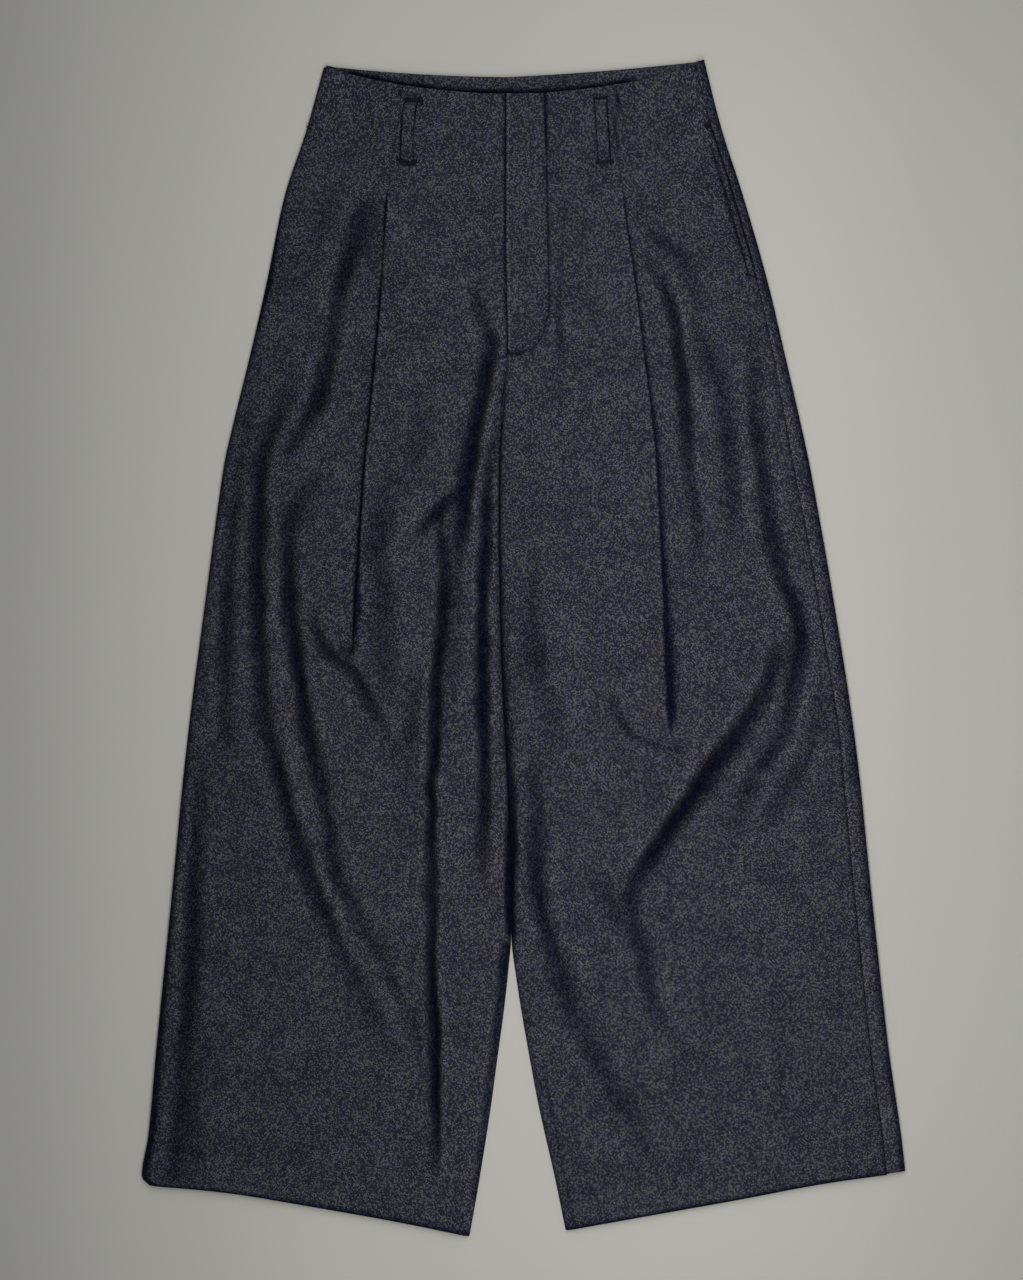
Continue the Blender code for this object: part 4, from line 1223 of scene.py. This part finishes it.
facing_shade = np.clip((above_front - FACING_SHADE[0]) / (FACING_SHADE[1] - FACING_SHADE[0]), 0, 1)
for span in (FACING_SHADE_RIGHT, FACING_SHADE_LEFT):
    facing_shade *= ease_between(facing_lines[..., 0], span)
waist_facing = add_cloth(
    "cloth_waist_facing", "waist_facing_back", facing_lines * MM, facing_shade, FACING_WALL
)


# Pocket facings
# Strips of the same twill behind the open side seams, on the backs.

POCKET_FROM = 33.0
POCKET_TO = 178.0
POCKET_FACING_WIDTH = 42.0
POCKET_FACING_INSET = 4.5
POCKET_FACING_LIFT = 0.5

for node, rows, back in (
    ("pocket_facing_right", RIGHT_LEG, back_right), ("pocket_facing_left", LEFT_LEG, back_left)
):
    leg = Leg(rows, np.linspace(POCKET_FROM, POCKET_TO, 40))
    outer = leg.width - POCKET_FACING_INSET
    across = mix(outer - POCKET_FACING_WIDTH, outer, np.linspace(0, 1, 12))
    z = waist_raise(leg.down) + BACK_WALL + SEAM_GAP + POCKET_FACING_LIFT + 0 * across
    piece = add_cloth("cloth_" + node, node, on_leg(leg, across, z), 0 * z, FACING_WALL)


# Belt loops
# Narrow strips folded to a double thickness and held by a bar tack at each
# end. The front ones stand a little proud between their tacks.

LOOP_WIDTH = 13.0
LOOP_STEPS = 40
LOOP_ACROSS = np.array((-1, -0.93, -0.84, -0.7, -0.4, 0, 0.4, 0.7, 0.84, 0.93, 1))
LOOP_SOFT_EDGE = 0.28
LOOP_NARROWS = 0.05
LOOP_PROBES = (-5, 0, 5)
LOOP_STAND = 0.75
LOOP_BOW = 0.55
LOOP_BOW_SHAPE = 0.7
LOOP_TWIST_SHAPE = 0.6
LOOP_EDGE_DROP = 0.35
LOOP_TWIST_SIDEWAYS = 3.0
LOOP_TWIST_RISE = 0.6

# The shade painted along each edge, where it meets the cloth below: from where it starts
# across, and how dark it is at five places down the loop
LOOP_EDGE_SHADE_FROM = 0.78
EVEN_EDGE_SHADE = (0.7, 0.7, 0.7, 0.7, 0.7)
Loop = namedtuple("Loop", "top bottom twist left_line right_line", defaults=(0.0, EVEN_EDGE_SHADE, EVEN_EDGE_SHADE))
LOOP_FRONT_RIGHT = Loop(
    (-99.2, 505.5), (-106.2, 443.0), 1.0, (0.5, 0.7, 1.0, 0.95, 0.5), (1, 1, 0.6, 0.5, 1)
)
LOOP_FRONT_LEFT = Loop(
    (71.2, 505.8), (75.4, 443.0), 0.0, (0.7, 0.9, 0.5, 0.8, 0.4), (0.9, 1, 1, 1, 1)
)


def cloth_height(piece, x, y):
    """The height in millimetres of a sheet's top at a place, or None."""
    hit, place = piece.ray_cast(Vector((x * MM, y * MM, 0.1)), Vector((0, 0, -1)))[:2]
    return place.z / MM + CLOTH / 2 if hit else None


def add_loop(node, loop, carrier=None):
    """A belt loop on the cloth that carries it, or flat on the table."""
    t = np.linspace(0, 1, LOOP_STEPS + 1)[:, None]
    s = LOOP_ACROSS
    bow = np.sin(math.pi * t) ** LOOP_BOW_SHAPE
    lean = np.sin(math.pi * t ** LOOP_TWIST_SHAPE) * loop.twist
    middle_x = mix(loop.top[0], loop.bottom[0], t)
    middle_y = mix(loop.top[1], loop.bottom[1], t)
    x = middle_x + s * LOOP_WIDTH / 2 * (1 - LOOP_NARROWS * bow) - lean * LOOP_TWIST_SIDEWAYS
    y = middle_y + 0 * s
    if carrier is None:
        z = CLOTH / 2 + 0 * x
    else:
        under = [
            [max(cloth_height(carrier, place_x + side, place_y) for side in LOOP_PROBES)]
            for place_x, place_y in zip(middle_x[:, 0], middle_y[:, 0])
        ]
        z = np.array(under) + LOOP_STAND + LOOP_BOW * bow - LOOP_EDGE_DROP * np.abs(s) ** 3
        z = z + lean * s * LOOP_TWIST_RISE
    places = np.linspace(0, 1, len(EVEN_EDGE_SHADE))
    # Painted shade along the loop's edges, standing for the shadow where they meet the cloth under them
    line = np.where(s < 0, np.interp(t, places, loop.left_line), np.interp(t, places, loop.right_line))
    painted_shade = np.where(np.abs(s) > LOOP_EDGE_SHADE_FROM, line, 0.0)
    piece = add_cloth("cloth_" + node, node, np.stack((x, y, z), axis=2) * MM, painted_shade, CLOTH)
    edge = piece.modifiers.new("soft_edge", "BEVEL")
    edge.width = LOOP_SOFT_EDGE * MM
    edge.segments = 2
    return piece


bpy.context.view_layer.update()
loop_right = add_loop("loop_front_right", LOOP_FRONT_RIGHT, front_right)
loop_left = add_loop("loop_front_left", LOOP_FRONT_LEFT, front_left)
add_loop("loop_back_right", Loop((-112.0, 523.0), (-112.0, 461.0)))
add_loop("loop_back_centre", Loop((-14.3, 522.0), (-14.3, 460.0)))
add_loop("loop_back_left", Loop((83.0, 525.0), (83.0, 463.0)))


# Stitching
# Navy polyester thread in the fly's J-shaped stitch, the left pocket's topstitch and
# the dense bar tacks, and grey thread in the fly's edge stitch and the facing.

def spin_thread(name, dark, pale, **values):
    """A twisted thread's material, from the two colours of its plies."""
    finish = Finish(name)
    place = finish.add("ShaderNodeTexCoord", {}, {}, "Object")
    plies = finish.noise(place, size=0.0006, detail=1.0)
    bump = finish.add("ShaderNodeBump", {}, {"Strength": 0.4, "Distance": 0.0001, "Height": plies})
    finish.surface(Base_Color=finish.blend(plies, dark, pale), Normal=bump, **values)
    return finish.material


navy_thread = spin_thread(
    "navy_thread", (0.0018, 0.0023, 0.0072, 1), (0.0062, 0.0070, 0.0165, 1),
    Roughness=0.7, Specular_IOR_Level=0.12,
)
grey_thread = spin_thread(
    "grey_thread", (0.060, 0.060, 0.075, 1), (0.150, 0.148, 0.160, 1),
    Roughness=0.6, Sheen_Weight=0.1,
)

STITCH_SINK = 0.05
STITCH_THICKNESS = 0.30
TACK_PITCH = 0.55
TACK_SWING = 0.25
bpy.ops.object.select_all(action="DESELECT")
bpy.ops.mesh.primitive_uv_sphere_add(segments=8, ring_count=5, radius=1.0)
stitch_form = bpy.context.active_object
stitch_points = np.array([vertex.co for vertex in stitch_form.data.vertices])
stitch_faces = sorted(list(face.vertices) for face in stitch_form.data.polygons)
bpy.data.objects.remove(stitch_form, do_unlink=True)


def add_stitches(name, stitches, carriers, material):
    """One piece of many stitches: each is its middle, the way that it runs,
    its length and its width, in millimetres, laid on the cloth under it."""
    points = []
    faces = []
    for x, y, run_x, run_y, length, width in stitches:
        heights = [cloth_height(carrier, x, y) for carrier in carriers]
        heights = [height for height in heights if height is not None]
        if not heights:
            continue
        size = math.hypot(run_x, run_y)
        ux, uy = run_x / size, run_y / size
        long = stitch_points[:, 0] * length / 2
        wide = stitch_points[:, 1] * width / 2
        z = max(heights) - STITCH_SINK + stitch_points[:, 2] * width * STITCH_THICKNESS
        faces.extend([[len(points) * len(long) + i for i in face] for face in stitch_faces])
        points.append(np.stack((x + long * ux - wide * uy, y + long * uy + wide * ux, z), axis=1) * MM)
    add_piece(name, np.concatenate(points), faces, material)


def along_path(points, pitch, length, width):
    """Stitches in a line along a smooth path."""
    path = smooth_path(points, 12)
    runs = np.diff(path, axis=0)
    stations = stations_on(path)
    stitches = []
    for place in np.arange(pitch / 2, stations[-1], pitch):
        i = np.searchsorted(stations, place) - 1
        x, y = path[i] + runs[i] * (place - stations[i]) / (stations[i + 1] - stations[i])
        stitches.append((x, y, *runs[i], length, width))
    return stitches


def bar_tacks(bars):
    """Dense short stitches across bars, each from a start to an end, with a width."""
    stitches = []
    for start, end, width in bars:
        run = np.subtract(end, start)
        count = int(math.hypot(*run) / TACK_PITCH)
        for i in range(count + 1):
            x, y = start + run * i / count
            swing = TACK_SWING if i % 2 else -TACK_SWING
            across = (swing * run[0] - run[1], swing * run[1] + run[0])
            stitches.append((x, y, *across, width, TACK_PITCH * 1.5))
    return stitches


FLY_EDGE = ((-12.9, 506), (-12.9, 420), (-12.3, 340), (-11.4, 274))

# The pick stitches follow every fourth point of the facing's top edge
PICK_STITCH_INSET = 2.2
pick_line = [(x, y - PICK_STITCH_INSET) for x, y in zip(edge_x[4:-4:4], edge_y[4:-4:4])]
waist_stitches = along_path(pick_line, pitch=2.9, length=0.8, width=0.5)

right_stitches = bar_tacks((
    ((-107.2, 502.0), (-91.4, 502.6), 5.4), ((-92.6, 502.0), (-91.6, 497.6), 2.4),
    ((-115.0, 449.2), (-111.0, 446.2), 5.0), ((-111.0, 446.2), (-103.0, 444.2), 5.4),
    ((-103.0, 444.2), (-97.0, 446.6), 4.8), ((-200.5, 477.0), (-195.5, 481.0), 2.2),
    ((-235.0, 334.0), (-229.0, 336.5), 2.2),
))
left_stitches = bar_tacks((
    ((64.8, 503.2), (78.0, 504.4), 4.4), ((67.0, 446.2), (74.0, 444.8), 4.8),
    ((74.0, 444.8), (83.2, 446.6), 5.2), ((-14.6, 270.8), (-6.0, 270.0), 3.0),
    ((-6.0, 270.0), (1.4, 271.6), 3.0), ((169.0, 479.0), (175.0, 483.6), 2.2),
    ((205.5, 342.6), (213.0, 341.6), 2.2),
))
left_stitches += along_path(J_STITCH, pitch=2.7, length=2.1, width=0.62)
left_stitches += along_path(POCKET_STITCH, pitch=2.7, length=2.1, width=0.6)

# The grey thread also makes a small tack near the left leg's inner edge
fly_stitches = along_path(FLY_EDGE, pitch=3.1, length=1.7, width=0.6)
fly_stitches += bar_tacks((((26.6, -413.0), (28.6, -414.0), 1.3),))

add_stitches("stitches_right", right_stitches, [front_right, loop_right], navy_thread)
add_stitches("stitches_left", left_stitches, [front_left, loop_left], navy_thread)
add_stitches("stitches_fly_edge", fly_stitches, [front_left], grey_thread)
add_stitches("stitches_waist_edge", waist_stitches, [waist_facing], grey_thread)
